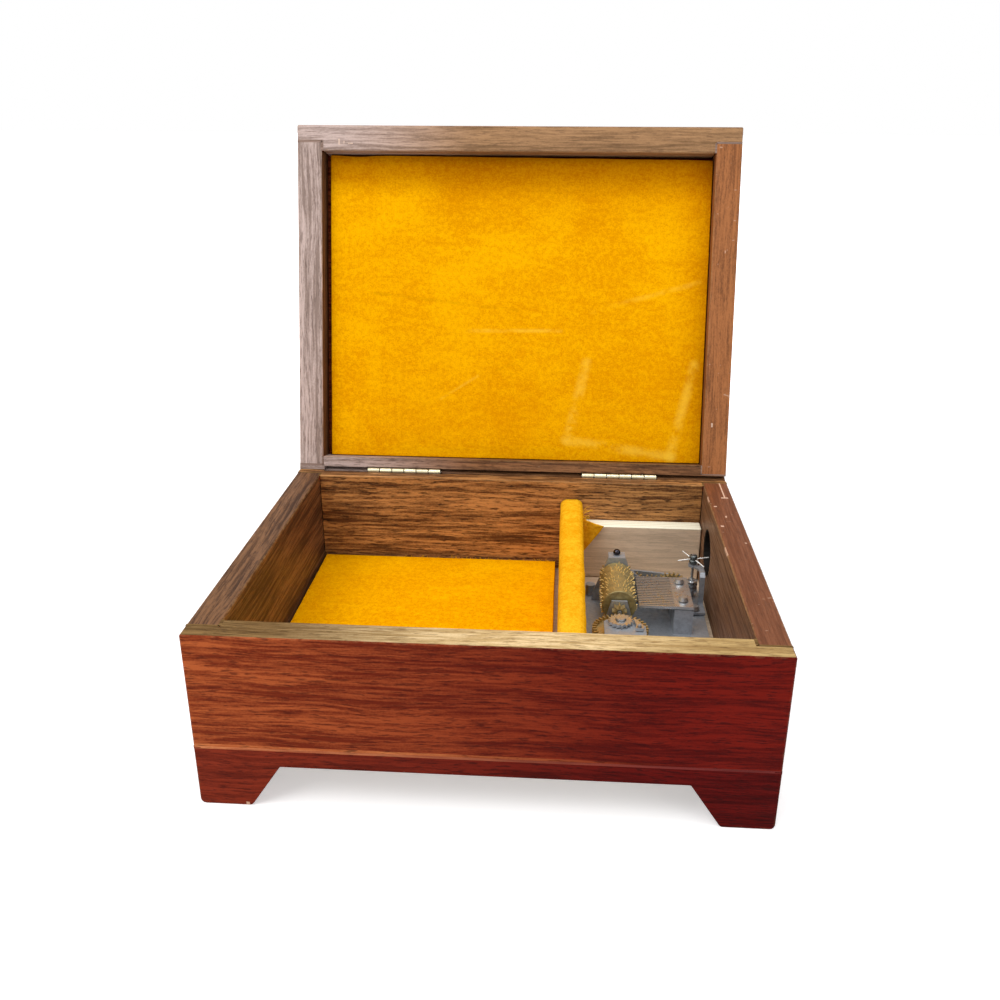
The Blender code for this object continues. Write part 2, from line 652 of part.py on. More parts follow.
def bottom_board():
    """Board that closes the box and carries the lining and the movement."""
    gap = JOINT_GAP
    board = box("bottom_board",
                (-INNER_X - BOARD_LEDGE + gap, INNER_FRONT - BOARD_LEDGE + gap, BOARD_BOTTOM),
                (INNER_X + BOARD_LEDGE - gap, INNER_REAR + BOARD_LEDGE - gap, BOARD_TOP), PLY)
    through = BOARD_THICK + 2 * CUT_PAST
    boolean(board, cylinder("key_hole", (CYLINDER_X, BARREL_Y, BOARD_BOTTOM - CUT_PAST), through,
                            KEY_HOLE_RADIUS, "Z"))
    for i, (x, y) in enumerate(board_screw_places()):
        boolean(board, cylinder(f"board_screw_hole_{i}", (x, y, BOARD_BOTTOM - CUT_PAST), through,
                                SCREW_RADIUS + PIVOT_GAP, "Z", segments=12))
    return board


# Lining

def soft_pad(name, lo, hi, crown, look, side=1):
    """Thin padded panel: crowned face, drawn-in edges, from a subdivided cage."""
    bm = box_bmesh(lo, hi)
    flat = [e for e in bm.edges if abs(e.verts[0].co.z - e.verts[1].co.z) < 1e-6]
    bmesh.ops.subdivide_edges(bm, edges=flat, cuts=5, use_grid_fill=True)
    centre = Vector([(a + b) / 2 for a, b in zip(lo, hi)])
    half = [(b - a) / 2 for a, b in zip(lo, hi)]
    rim = 1.0 - PAD_RIM
    for vert in bm.verts:
        u = (vert.co.x - centre.x) / half[0]
        v = (vert.co.y - centre.y) / half[1]
        if (vert.co.z - centre.z) * side > 0:
            vert.co.z += side * crown * ((1 - u * u) * (1 - v * v) - 1.0)
            vert.co.x -= PAD_DRAW * max(0.0, abs(u) - rim) / PAD_RIM * math.copysign(1, u)
            vert.co.y -= PAD_DRAW * max(0.0, abs(v) - rim) / PAD_RIM * math.copysign(1, v)
    obj = add_object(name, bm, look, smooth=True)
    mod = obj.modifiers.new("Subdivision", "SUBSURF")
    mod.levels = 1
    mod.render_levels = 1
    mod.subdivision_type = "CATMULL_CLARK"
    return obj


def floor_velvet_pad():
    """Velvet-covered pad on the floor of the jewelry compartment."""
    gap = SOFT_GAP
    return soft_pad("floor_velvet_pad",
                    (-INNER_X + gap, INNER_FRONT + gap, BOARD_TOP + gap),
                    (VELVET_LEFT - gap, INNER_REAR - gap, BOARD_TOP + gap + PAD_THICK),
                    PAD_CROWN, VELVET)


def partition():
    """Board between the compartments and the velvet folded over it."""
    half = PARTITION_THICK / 2
    y0 = INNER_FRONT + JOINT_GAP
    y1 = INNER_REAR - JOINT_GAP
    board_top = PARTITION_TOP - VELVET_THICK - SOFT_GAP
    board = box("partition_board", (PARTITION_X - half, y0, BOARD_TOP + JOINT_GAP),
                (PARTITION_X + half, y1, board_top), PLY)
    bevel(board)
    inner = half + SOFT_GAP
    outer = inner + VELVET_THICK
    foot = BOARD_TOP + JOINT_GAP
    shoulder = outer * FOLD_SHARE
    arc = [(PARTITION_X + outer - shoulder + shoulder * math.sin(a * math.pi / 12),
            PARTITION_TOP - shoulder + shoulder * math.cos(a * math.pi / 12)) for a in range(7)]
    left_arc = [(2 * PARTITION_X - x, z) for x, z in reversed(arc)]
    profile = [(PARTITION_X - inner, foot), (PARTITION_X - inner, board_top + SOFT_GAP),
               (PARTITION_X + inner, board_top + SOFT_GAP), (PARTITION_X + inner, foot),
               (PARTITION_X + outer, foot), *reversed(arc), *reversed(left_arc),
               (PARTITION_X - outer, foot)]
    velvet = outline("partition_velvet", [profile], y1 - y0, "Y", y0, VELVET)
    flap_y = LEDGE_FRONT - SOFT_GAP - FLAP_THICK
    root = PARTITION_X + outer - UNION_LAP
    toe = LEDGE_TOP + FLAP_RISE - FLAP_DROP
    flap = outline("velvet_flap", [[(root, LEDGE_TOP + FLAP_RISE), (root, toe),
                                    (root + FLAP_TIP, toe), (root + FLAP_REACH, LEDGE_TOP - FLAP_TIP),
                                    (root + FLAP_REACH - FLAP_TIP, LEDGE_TOP)]],
                   FLAP_THICK, "Y", flap_y)
    boolean(velvet, flap, "UNION")
    velvet.data.shade_smooth()
    velvet.data.set_sharp_from_angle(angle=math.radians(50))


def ledge_board():
    """Pale board that stands against the rear wall beside the movement."""
    board = box("ledge_board", (VELVET_RIGHT + SOFT_GAP, LEDGE_FRONT, BOARD_TOP + JOINT_GAP),
                (INNER_X - JOINT_GAP, INNER_REAR - JOINT_GAP, LEDGE_TOP), PLY)
    bevel(board)


# Lid, modelled closed and then turned open about the hinge axis

def lid():
    """Lid frame of four lapped rails under a top panel, with its velvet panel."""
    low = HEIGHT + RIM_GAP
    high = low + LID_RAIL_HEIGHT
    lap_front = box("lid_front_rail", (-WIDTH / 2, FRONT_Y, low), (WIDTH / 2, FRONT_Y + LID_RAIL, high),
                    WALNUT_LID)
    lap_rear = box("lid_rear_rail", (-WIDTH / 2, REAR_Y - LID_REAR_RAIL, low), (WIDTH / 2, REAR_Y, high),
                   WALNUT_LID)
    inner = WIDTH / 2 - LID_RAIL
    for rail, y0, y1 in ((lap_front, FRONT_Y + LID_RAIL - LAP, FRONT_Y + LID_RAIL + CUT_PAST),
                         (lap_rear, REAR_Y - LID_REAR_RAIL - CUT_PAST, REAR_Y - LID_REAR_RAIL + LAP)):
        for side in (-1, 1):
            x0, x1 = sorted((side * (inner - JOINT_GAP), side * (WIDTH / 2 + CUT_PAST)))
            boolean(rail, box(f"{rail.name}_lap", (x0, y0, low - CUT_PAST), (x1, y1, high + CUT_PAST)))
    pieces = [lap_front, lap_rear]
    for name, side in (("lid_left_rail", -1), ("lid_right_rail", 1)):
        x0, x1 = sorted((side * inner, side * WIDTH / 2))
        pieces.append(box(name, (x0, FRONT_Y + LID_RAIL - LAP + JOINT_GAP, low),
                          (x1, REAR_Y - LID_REAR_RAIL + LAP - JOINT_GAP, high), WALNUT_LID))
    cutters = rear_rim_cutters("lid_rim")
    side_cutters = [chamfer_cutter(f"lid_side_chamfer_{i}") for i in range(2)]
    slot_ends = [kerf_cutter("lid_right_kerf_end"), mouth_cutter("lid_right_mouth_end")]
    flip_to_lid([*cutters, *side_cutters, *slot_ends])
    for cutter in cutters:
        boolean(lap_rear, cutter)
    for rail, cutter in zip(pieces[2:], side_cutters):
        boolean(rail, cutter)
    for cutter in slot_ends:
        boolean(pieces[3], cutter)
    pieces.append(box("lid_top_panel", (-WIDTH / 2, FRONT_Y, high + JOINT_GAP),
                      (WIDTH / 2, REAR_Y, low + LID_TOP), WALNUT_LID))
    for piece in pieces:
        bevel(piece)
    margin = LID_VELVET_MARGIN
    pieces.append(soft_pad("lid_velvet_panel",
                           (-inner + LID_VELVET_LEFT, FRONT_Y + LID_RAIL + LID_VELVET_FRONT,
                            high - LID_VELVET_THICK),
                           (inner - margin, REAR_Y - LID_REAR_RAIL - margin, high),
                           LID_VELVET_CROWN, VELVET, side=-1))
    return pieces


# Hinges

def hinge_leaf(name, x_left, mine, tilt_sign):
    """One leaf: a thin plate in the kerf with every second knuckle of the barrel."""
    span = HINGE_LENGTH / KNUCKLES
    half_gap = KNUCKLE_GAP / 2
    tilt = math.radians(KERF_TILT_DEG)
    down = (-math.sin(tilt), -tilt_sign * math.cos(tilt))
    across = (-down[1], down[0])

    def at(depth, side):
        return (AXIS_Y + down[0] * depth + across[0] * side, AXIS_Z + down[1] * depth + across[1] * side)

    half = LEAF_THICK / 2
    neck = KNUCKLE_RADIUS + KNUCKLE_GAP
    leaf = outline(name, [[at(neck, -half), at(neck, half), at(LEAF_DEPTH, half), at(LEAF_DEPTH, -half)]],
                   HINGE_LENGTH - KNUCKLE_GAP, "X", x_left + half_gap, PALE_BRASS)
    tab = half - TAB_INSET
    reach = neck + 2 * KNUCKLE_GAP
    opening = math.asin(tab / KNUCKLE_RADIUS)
    turns = [opening + i * (2 * math.pi - 2 * opening) / 14 for i in range(15)]
    rim = [at(KNUCKLE_RADIUS * math.cos(a), KNUCKLE_RADIUS * math.sin(a)) for a in turns]
    keyhole = [at(reach, -tab), at(reach, tab), *rim]
    bore = circle(AXIS_Y, AXIS_Z, KNUCKLE_BORE, 12)
    for k in range(mine, KNUCKLES, 2):
        knuckle = outline(f"{name}_knuckle_{k}", [keyhole, bore], span - KNUCKLE_GAP - 2 * TAB_INSET, "X",
                          x_left + k * span + half_gap + TAB_INSET)
        boolean(leaf, knuckle, "UNION")
    return leaf


def hinges():
    """Two barrel hinges whose leaves are pressed into the kerfs."""
    lid_pieces = []
    for side, x in (("left", HINGE_LEFT_X), ("right", HINGE_RIGHT_X)):
        x_left = x - HINGE_LENGTH / 2
        hinge_leaf(f"{side}_hinge_body_leaf", x_left, 1, 1)
        lid_pieces.append(hinge_leaf(f"{side}_hinge_lid_leaf", x_left, 0, -1))
        cylinder(f"{side}_hinge_pin", (x_left, AXIS_Y, AXIS_Z), HINGE_LENGTH, HINGE_PIN_RADIUS, "X",
                 STEEL, segments=12)
    return lid_pieces


# Movement

def gear_points(teeth, centre, phase):
    """Tooth outline: four points a tooth, first tooth centred at angle phase."""
    pitch_radius = teeth * MODULE / 2
    thick = (math.pi * MODULE - TOOTH_BACKLASH) / 2
    points = []
    for k in range(teeth):
        middle = phase + 2 * math.pi * k / teeth
        for radius, width in ((pitch_radius - DEDENDUM, thick * TOOTH_ROOT),
                              (pitch_radius + ADDENDUM, thick * TOOTH_TIP)):
            half = width / 2 / radius
            points.append([(middle - half, radius), (middle + half, radius)])
    outline_points = []
    for k in range(teeth):
        root, tip = points[2 * k], points[2 * k + 1]
        for angle, radius in (root[0], tip[0], tip[1], root[1]):
            outline_points.append((centre[0] + radius * math.cos(angle),
                                   centre[1] + radius * math.sin(angle)))
    return outline_points


def meshed_phase(phase, teeth, other_teeth, towards):
    """Phase of the second gear so that its gap meets the first gear's tooth."""
    r1 = teeth * MODULE / 2
    r2 = other_teeth * MODULE / 2
    half_pitch = math.pi * MODULE / 2
    return towards + math.pi + (half_pitch - r1 * (phase - towards)) / r2


def wheel(name, teeth, centre, y, thickness, phase, bore, look):
    """A toothed wheel across Y, with a bore for its arbor."""
    loops = [gear_points(teeth, centre, phase), circle(*centre, bore, 16)]
    return outline(name, loops, thickness, "Y", y, look)


def turned_arbor(name, x, z, steps, look):
    """A round arbor along Y from its steps of (y, radius)."""
    bm = bmesh.new()
    profile = []
    for (y0, radius), (y1, _) in zip(steps, steps[1:]):
        profile += [(y0, radius), (y1, radius)]
    points = [(steps[0][0], 0.0), *profile, (steps[-1][0], 0.0)]
    verts = [bm.verts.new((radius, y, 0.0)) for y, radius in points]
    edges = [bm.edges.new(pair) for pair in zip(verts, verts[1:])]
    bmesh.ops.spin(bm, geom=[*verts, *edges], cent=(0, 0, 0), axis=(0, 1, 0),
                   angle=2 * math.pi, steps=16, use_merge=True)
    bmesh.ops.remove_doubles(bm, verts=bm.verts, dist=0.000002)
    bmesh.ops.translate(bm, verts=bm.verts, vec=(x, 0.0, z))
    return add_object(name, bm, look, smooth=True)


def place_movement():
    """Angles at which the gears stand in mesh at rest."""
    to_second = math.atan2(SECOND_Z - AXIS_RISE, SECOND_X - CYLINDER_X)
    to_third = math.atan2(TRAIN_Z - SECOND_Z, THIRD_X - SECOND_X)
    phases = {"cylinder": 0.0}
    phases["second_pinion"] = meshed_phase(0.0, CYLINDER_GEAR_TEETH, TRAIN_PINION_TEETH, to_second)
    phases["second"] = 0.0
    phases["third_pinion"] = meshed_phase(0.0, TRAIN_WHEEL_TEETH, TRAIN_PINION_TEETH, to_third)
    phases["third"] = 0.0
    phases["fourth_pinion"] = meshed_phase(0.0, TRAIN_WHEEL_TEETH, TRAIN_PINION_TEETH, 0.0)
    phases["fourth"] = 0.0
    phases["drive_pinion"] = -math.pi / 2
    return phases


PHASES = place_movement()


def cylinder_group():
    """Pinned cylinder with its arbor, drive pinion and train gear."""
    rear_end = BRACKET_Y + PLATE_THICK + AXIAL_GAP + WHEEL_THICK
    arbor = turned_arbor("cylinder_arbor", CYLINDER_X, AXIS_RISE,
                         [(DRIVE_PINION_Y - ARBOR_END, PINION_SEAT_RADIUS), (FRONT_BRACKET_Y, ARBOR_RADIUS),
                          (rear_end, ARBOR_RADIUS)], STEEL)
    bore = ARBOR_RADIUS + PIVOT_GAP
    centre = (CYLINDER_X, AXIS_RISE)
    pinion = wheel("cylinder_drive_pinion", CYLINDER_PINION_TEETH, centre, DRIVE_PINION_Y,
                   DRIVE_PINION_LENGTH, PHASES["drive_pinion"], PINION_SEAT_RADIUS + PIVOT_GAP, BRASS)
    gear = wheel("cylinder_gear", CYLINDER_GEAR_TEETH, centre, CYLINDER_GEAR_Y, WHEEL_THICK,
                 PHASES["cylinder"], bore, BRASS)
    drum = cylinder("pinned_cylinder", (CYLINDER_X, CYLINDER_FRONT, AXIS_RISE), CYLINDER_LENGTH,
                    CYLINDER_RADIUS, "Y", BRASS, segments=48)
    boolean(drum, cylinder("drum_bore", (CYLINDER_X, CYLINDER_FRONT - CUT_PAST, AXIS_RISE),
                           CYLINDER_LENGTH + 2 * CUT_PAST, bore, "Y", segments=16))
    boolean(drum, drum_pins(), "UNION")
    return [arbor, pinion, gear, drum]


def note_y(note):
    """Place of a note's track along the cylinder."""
    return CYLINDER_FRONT + CYLINDER_LENGTH * (note + 0.5) / NOTES


def drum_pins():
    """Melody pins: several tracks, spread so that none touch."""
    bm = bmesh.new()
    sunk = PIN_SUNK
    for i in range(PINS):
        note = (i * PIN_TRACK_STEP) % NOTES
        turn = 2 * math.pi * (i + 0.25 * math.sin(i * 1.7)) / PINS
        size = Matrix.Diagonal((PIN_WIDTH, PIN_WIDTH, PIN_HEIGHT + sunk, 1.0))
        lift = Matrix.Translation((0, 0, CYLINDER_RADIUS + (PIN_HEIGHT - sunk) / 2))
        spin = Matrix.Rotation(turn, 4, "Y")
        place = Matrix.Translation((CYLINDER_X, note_y(note), AXIS_RISE)) @ spin @ lift @ size
        bmesh.ops.create_cube(bm, size=1.0, matrix=place)
    return add_object("drum_pins", bm, None)


def train_arbor(name, x, z, pinion_y, phase, look):
    """Arbor with an integral pinion; its pivots run in the two train plates."""
    pivot_front = BRACKET_Y + PLATE_THICK - PIVOT_DEPTH
    pivot_rear = REAR_PLATE_Y + PIVOT_DEPTH
    body_front = BRACKET_Y + PLATE_THICK + AXIAL_GAP
    body_rear = REAR_PLATE_Y - AXIAL_GAP
    arbor = turned_arbor(name, x, z, [(pivot_front, PIVOT_RADIUS), (body_front, ARBOR_RADIUS),
                                      (body_rear, PIVOT_RADIUS), (pivot_rear, PIVOT_RADIUS)], look)
    pinion = outline(f"{name}_leaves", [gear_points(TRAIN_PINION_TEETH, (x, z), phase)],
                     WHEEL_THICK, "Y", pinion_y)
    boolean(arbor, pinion, "UNION")
    return arbor


def train():
    """Second, third and fourth arbors of the governor train."""
    bore = ARBOR_RADIUS + PIVOT_GAP
    groups = {}
    for name, x, z, pinion_y, wheel_y in (
            ("second", SECOND_X, SECOND_Z, CYLINDER_GEAR_Y, SECOND_WHEEL_Y),
            ("third", THIRD_X, TRAIN_Z, SECOND_WHEEL_Y, THIRD_WHEEL_Y),
            ("fourth", FOURTH_X, TRAIN_Z, THIRD_WHEEL_Y, None)):
        arbor = train_arbor(f"{name}_arbor", x, z, pinion_y, PHASES[f"{name}_pinion"], STEEL)
        if wheel_y is None:
            gear = wheel("worm_wheel", WORM_WHEEL_TEETH, (x, z), WORM_WHEEL_Y - WORM_THICK / 2,
                         WORM_THICK, PHASES[name], bore, BRASS)
        else:
            gear = wheel(f"{name}_wheel", TRAIN_WHEEL_TEETH, (x, z), wheel_y, WHEEL_THICK,
                         PHASES[name], bore, BRASS)
        groups[name] = [arbor, gear]
    return groups


def worm_thread(root_radius):
    """Right-hand thread of the worm, its gap level with the wheel's first tooth."""
    pitch = math.pi * MODULE
    tip_radius = WORM_PITCH_RADIUS + ADDENDUM
    base_half = THREAD_FOOT / 2
    tip_half = THREAD_TIP / 2
    inside = root_radius - THREAD_SUNK
    bm = bmesh.new()
    section = [(inside, -base_half), (tip_radius, -tip_half), (tip_radius, tip_half), (inside, base_half)]
    start_angle = math.pi - WORM_TURNS * math.pi
    start_z = TRAIN_Z + pitch / 2 - WORM_TURNS * pitch / 2
    verts = [bm.verts.new((r * math.cos(start_angle), r * math.sin(start_angle), start_z + h))
             for r, h in section]
    face = bm.faces.new(verts)
    steps = int(WORM_TURNS * THREAD_STEPS)
    bmesh.ops.spin(bm, geom=[face, *face.edges, *face.verts], cent=(0, 0, 0), axis=(0, 0, 1),
                   dvec=(0, 0, pitch * WORM_TURNS / steps), angle=2 * math.pi * WORM_TURNS,
                   steps=steps, use_merge=False)
    bmesh.ops.translate(bm, verts=bm.verts, vec=(HUB_X, HUB_Y, 0.0))
    return add_object("worm_thread", bm, None)


def governor():
    """Worm shaft and the wire fly that brakes the movement."""
    root = WORM_PITCH_RADIUS - DEDENDUM
    low = BED_TOP - ARBOR_END
    shaft = cylinder("governor_worm", (HUB_X, HUB_Y, low), GOVERNOR_TOP - low, PIVOT_RADIUS, "Z",
                     STEEL, segments=12)
    body_low = BED_TOP + AXIAL_GAP
    body_high = TRAIN_Z + (WORM_TURNS + 1.6) / 2 * math.pi * MODULE
    body = cylinder("worm_body", (0, 0, body_low), body_high - body_low, root, "Z", segments=WORM_FACETS)
    # Half a facet's turn keeps the body's corners off the thread's sections
    turn = Matrix.Rotation(math.pi / WORM_FACETS, 4, "Z")
    body.data.transform(Matrix.Translation((HUB_X, HUB_Y, 0)) @ turn)
    boolean(body, worm_thread(root), "UNION")
    boolean(shaft, body, "UNION")
    hub_low = FLY_Z - FLY_HUB_HEIGHT / 2
    hub = cylinder("governor_fly", (HUB_X, HUB_Y, hub_low), FLY_HUB_HEIGHT, FLY_HUB_RADIUS + PIVOT_RADIUS,
                   "Z", DARK_STEEL, segments=16)
    boolean(hub, cylinder("fly_bore", (HUB_X, HUB_Y, hub_low - CUT_PAST), FLY_HUB_HEIGHT + 2 * CUT_PAST,
                          PIVOT_RADIUS + PIVOT_GAP, "Z", segments=12))
    for i, degrees in enumerate(FLY_ANGLES_DEG):
        for half_turn in (0.0, math.pi):
            angle = math.radians(degrees) + half_turn
            arm = cylinder(f"fly_arm_{i}_{int(half_turn)}", (FLY_HUB_RADIUS, 0, 0),
                           FLY_ARM - FLY_HUB_RADIUS, FLY_WIRE, "X", segments=8)
            turn = Matrix.Rotation(angle, 4, "Z")
            arm.data.transform(Matrix.Translation((HUB_X, HUB_Y, FLY_Z)) @ turn)
            boolean(hub, arm, "UNION")
    return [shaft, hub]


def crown_cover():
    """Barrel cover with upright crown teeth that drive the cylinder's pinion."""
    bm = bmesh.new()
    sections = 3 * CROWN_TEETH
    step = 2 * math.pi / sections
    rings = []
    for radius in (WINDING_ARBOR_RADIUS + PIVOT_GAP, CROWN_R - CROWN_FACE / 2, CROWN_R + CROWN_FACE / 2):
        ring = bmesh.ops.create_circle(bm, segments=sections, radius=radius)["verts"]
        rings.append([e for v in ring for e in v.link_edges])
    rings = [list(dict.fromkeys(edges)) for edges in rings]
    bmesh.ops.bridge_loops(bm, edges=rings[0] + rings[1])
    toothed = bmesh.ops.bridge_loops(bm, edges=rings[1] + rings[2])["faces"]
    lower = bmesh.ops.extrude_face_region(bm, geom=bm.faces[:])
    moved = [g for g in lower["geom"] if isinstance(g, bmesh.types.BMVert)]
    bmesh.ops.translate(bm, verts=moved, vec=(0, 0, -BARREL_COVER))
    for face in toothed:
        middle = face.calc_center_median()
        angle = math.atan2(middle.y, middle.x) - math.pi / 2
        if math.floor(angle / step) % 3 == 1:
            grown = bmesh.ops.extrude_discrete_faces(bm, faces=[face])["faces"][0]
            bmesh.ops.translate(bm, verts=grown.verts,
                                vec=(0, 0, CROWN_PITCH_Z + ADDENDUM - CROWN_DISC_TOP))
    bmesh.ops.translate(bm, verts=bm.verts, vec=(CYLINDER_X, BARREL_Y, CROWN_DISC_TOP))
    return add_object("barrel_cover", bm, BRASS)


def barrel_group():
    """Spring barrel, its crown-toothed cover and the mainspring inside."""
    height = BARREL_TOP - JOINT_GAP - BARREL_BOTTOM
    barrel = cylinder("spring_barrel", (CYLINDER_X, BARREL_Y, BARREL_BOTTOM), height, BARREL_RADIUS,
                      "Z", BRASS, segments=40)
    boolean(barrel, cylinder("barrel_hollow", (CYLINDER_X, BARREL_Y, BARREL_BOTTOM + BARREL_WALL),
                             height, BARREL_RADIUS - BARREL_WALL, "Z", segments=40))
    boolean(barrel, cylinder("barrel_bore", (CYLINDER_X, BARREL_Y, BARREL_BOTTOM - CUT_PAST),
                             BARREL_WALL + 2 * CUT_PAST,
                             WINDING_ARBOR_RADIUS + PIVOT_GAP, "Z", segments=16))
    low = BARREL_BOTTOM + BARREL_WALL + JOINT_GAP
    high = BARREL_TOP - JOINT_GAP
    return [barrel, crown_cover(), mainspring(low, high - low)]


def mainspring(low, height):
    """Flat spiral spring from the arbor out to the barrel wall."""
    inner = WINDING_ARBOR_RADIUS + PIVOT_GAP + MAINSPRING_THICK / 2
    outer = BARREL_RADIUS - BARREL_WALL - PIVOT_GAP - MAINSPRING_THICK / 2
    count = MAINSPRING_TURNS * MAINSPRING_STEPS
    centre_line = []
    for i in range(count + 1):
        share = i / count
        angle = 2 * math.pi * MAINSPRING_TURNS * share
        radius = inner + (outer - inner) * share
        centre_line.append((angle, radius))
    half = MAINSPRING_THICK / 2
    side_a = [((r + half) * math.cos(a), (r + half) * math.sin(a)) for a, r in centre_line]
    side_b = [((r - half) * math.cos(a), (r - half) * math.sin(a)) for a, r in reversed(centre_line)]
    loop = [(CYLINDER_X + x, BARREL_Y + y) for x, y in side_a + side_b]
    return outline("mainspring", [loop], height, "Z", low, DARK_STEEL)


def winding_group():
    """Winding arbor, ratchet wheel and the key under the box."""
    key_top = BOARD_BOTTOM - KEY_TOP_GAP
    arbor_low = KEY_CLEARANCE + KEY_SOCKET_RISE
    arbor_high = RATCHET_Z + RATCHET_THICK + ARBOR_END
    x, y = CYLINDER_X, BARREL_Y
    arbor = cylinder("winding_arbor", (x, y, arbor_low), arbor_high - arbor_low, WINDING_ARBOR_RADIUS,
                     "Z", STEEL, segments=20)
    points = []
    for k in range(RATCHET_TEETH):
        step = 2 * math.pi / RATCHET_TEETH
        for share, radius in ((0.0, RATCHET_RADIUS), (TOOTH_LAND, RATCHET_RADIUS),
                              (TOOTH_END, RATCHET_RADIUS - RATCHET_DEPTH)):
            angle = (k + share) * step
            points.append((x + radius * math.cos(angle), y + radius * math.sin(angle)))
    ratchet = outline("ratchet_wheel", [points, circle(x, y, WINDING_ARBOR_RADIUS + PIVOT_GAP, 20)],
                      RATCHET_THICK, "Z", RATCHET_Z, STEEL)
    boss_low = KEY_CLEARANCE + KEY_BOSS_RISE
    key = cylinder("winding_key", (x, y, boss_low), key_top - boss_low, KEY_BOSS_RADIUS, "Z",
                   PALE_BRASS, segments=24)
    lobe = (key_top - KEY_BOSS_DROP - KEY_CLEARANCE) / 2
    middle = KEY_CLEARANCE + lobe
    reach = KEY_SPAN / 2 - lobe
    turns = [math.pi * (i / 8 - 0.5) for i in range(9)]
    right_edge = [(x + reach + lobe * math.cos(a), middle + lobe * math.sin(a)) for a in turns]
    left_edge = [(2 * x - px, pz) for px, pz in reversed(right_edge)]
    wings = outline("key_wings", [[*right_edge, *left_edge]], KEY_THICK, "Y", y - KEY_THICK / 2)
    boolean(key, wings, "UNION")
    socket = cylinder("key_socket", (x, y, arbor_low - UNION_LAP), key_top, WINDING_ARBOR_RADIUS + PIVOT_GAP,
                      "Z", segments=20)
    boolean(key, socket)
    return [arbor, ratchet, key]


def click_group():
    """Sprung click that holds the ratchet wheel, on its pin on the winding bridge."""
    pivot_x = CYLINDER_X + RATCHET_RADIUS + CLICK_PIVOT_OUT
    pivot_y = BARREL_Y - CLICK_PIVOT_FRONT
    tip_angle = 2 * math.pi / RATCHET_TEETH * CLICK_TIP_SHARE
    touch = RATCHET_RADIUS - CLICK_DEPTH
    tip_x = CYLINDER_X + touch * math.cos(tip_angle) + CLICK_GAP + CLICK_NOSE
    tip_y = BARREL_Y + touch * math.sin(tip_angle)
    points = [(pivot_x - CLICK_TAIL, pivot_y - CLICK_BEAK), (pivot_x + CLICK_TAIL, pivot_y - CLICK_BEAK),
              (pivot_x + CLICK_TAIL, pivot_y + CLICK_TAIL), (tip_x + CLICK_BEAK, tip_y - CLICK_NOSE),
              (tip_x, tip_y + CLICK_NOSE), (tip_x, tip_y - CLICK_BEAK),
              (pivot_x - CLICK_BEAK, pivot_y + CLICK_TAIL)]
    return outline("ratchet_click", [points, circle(pivot_x, pivot_y, PIVOT_RADIUS + PIVOT_GAP, 12)],
                   RATCHET_THICK, "Z", RATCHET_Z, STEEL), (pivot_x, pivot_y)


def bedplate():
    """Cast bedplate with a comb pad, a mounting post and clearance for the train."""
    bed = box("bedplate", (BED_LEFT, BED_FRONT, BED_BOTTOM), (BED_RIGHT, BED_REAR, BED_TOP), ZINC)
    pad = box("comb_pad", (COMB_PAD_LEFT, CYLINDER_FRONT, BED_TOP - UNION_LAP),
              (COMB_PAD_LEFT + COMB_HEEL, CYLINDER_REAR, COMB_BOTTOM - JOINT_GAP))
    boolean(bed, pad, "UNION")
    for i, (x, y) in enumerate(board_screw_places()):
        foot = cylinder(f"bed_foot_{i}", (x, y, BOARD_TOP + JOINT_GAP), BED_FOOT + UNION_LAP,
                        BED_SCREW_INSET - SLOT_GAP, "Z", segments=16)
        boolean(bed, foot, "UNION")
    x, y = board_screw_places()[2]
    boolean(bed, cylinder("rear_post", (x, y, BED_TOP - UNION_LAP), POST_RISE + UNION_LAP, POST_RADIUS, "Z",
                          segments=16), "UNION")
    slot = box("train_slot",
               (SECOND_X - WHEEL_R - CUT_PAST, SECOND_WHEEL_Y - SLOT_GAP, BED_BOTTOM - CUT_PAST),
               (FOURTH_X + WORM_WHEEL_R + SLOT_GAP, REAR_PLATE_Y, BED_TOP + CUT_PAST))
    boolean(bed, slot)
    through = BED_THICK + 2 * CUT_PAST
    boolean(bed, cylinder("bed_arbor_hole", (CYLINDER_X, BARREL_Y, BED_BOTTOM - CUT_PAST), through,
                          WINDING_ARBOR_RADIUS + PIVOT_GAP, "Z", segments=20))
    boolean(bed, cylinder("bed_pivot_hole", (HUB_X, HUB_Y, BED_BOTTOM - CUT_PAST), through,
                          PIVOT_RADIUS + PIVOT_GAP, "Z", segments=12))
    for i, (px, py) in enumerate(board_screw_places()):
        hole = cylinder(f"bed_screw_hole_{i}", (px, py, BOARD_TOP), BOARD_SHANK_PAST + SLOT_GAP,
                        SCREW_RADIUS + PIVOT_GAP, "Z", segments=12)
        boolean(bed, hole)
    for i, py in enumerate(COMB_SCREW_YS):
        hole = cylinder(f"pad_screw_hole_{i}", (COMB_SCREW_X, py, COMB_TOP - COMB_SHANK - CUT_PAST),
                        COMB_SHANK + CUT_PAST, SCREW_RADIUS + PIVOT_GAP, "Z", segments=12)
        boolean(bed, hole)
    boolean(bed, cylinder("bridge_screw_hole",
                          (BRIDGE_FOOT_X, BRIDGE_FOOT_Y, BED_TOP - STRIP_SHANK + STRIP_THICK),
                          STRIP_SHANK, SCREW_RADIUS + PIVOT_GAP, "Z", segments=12))
    return bed


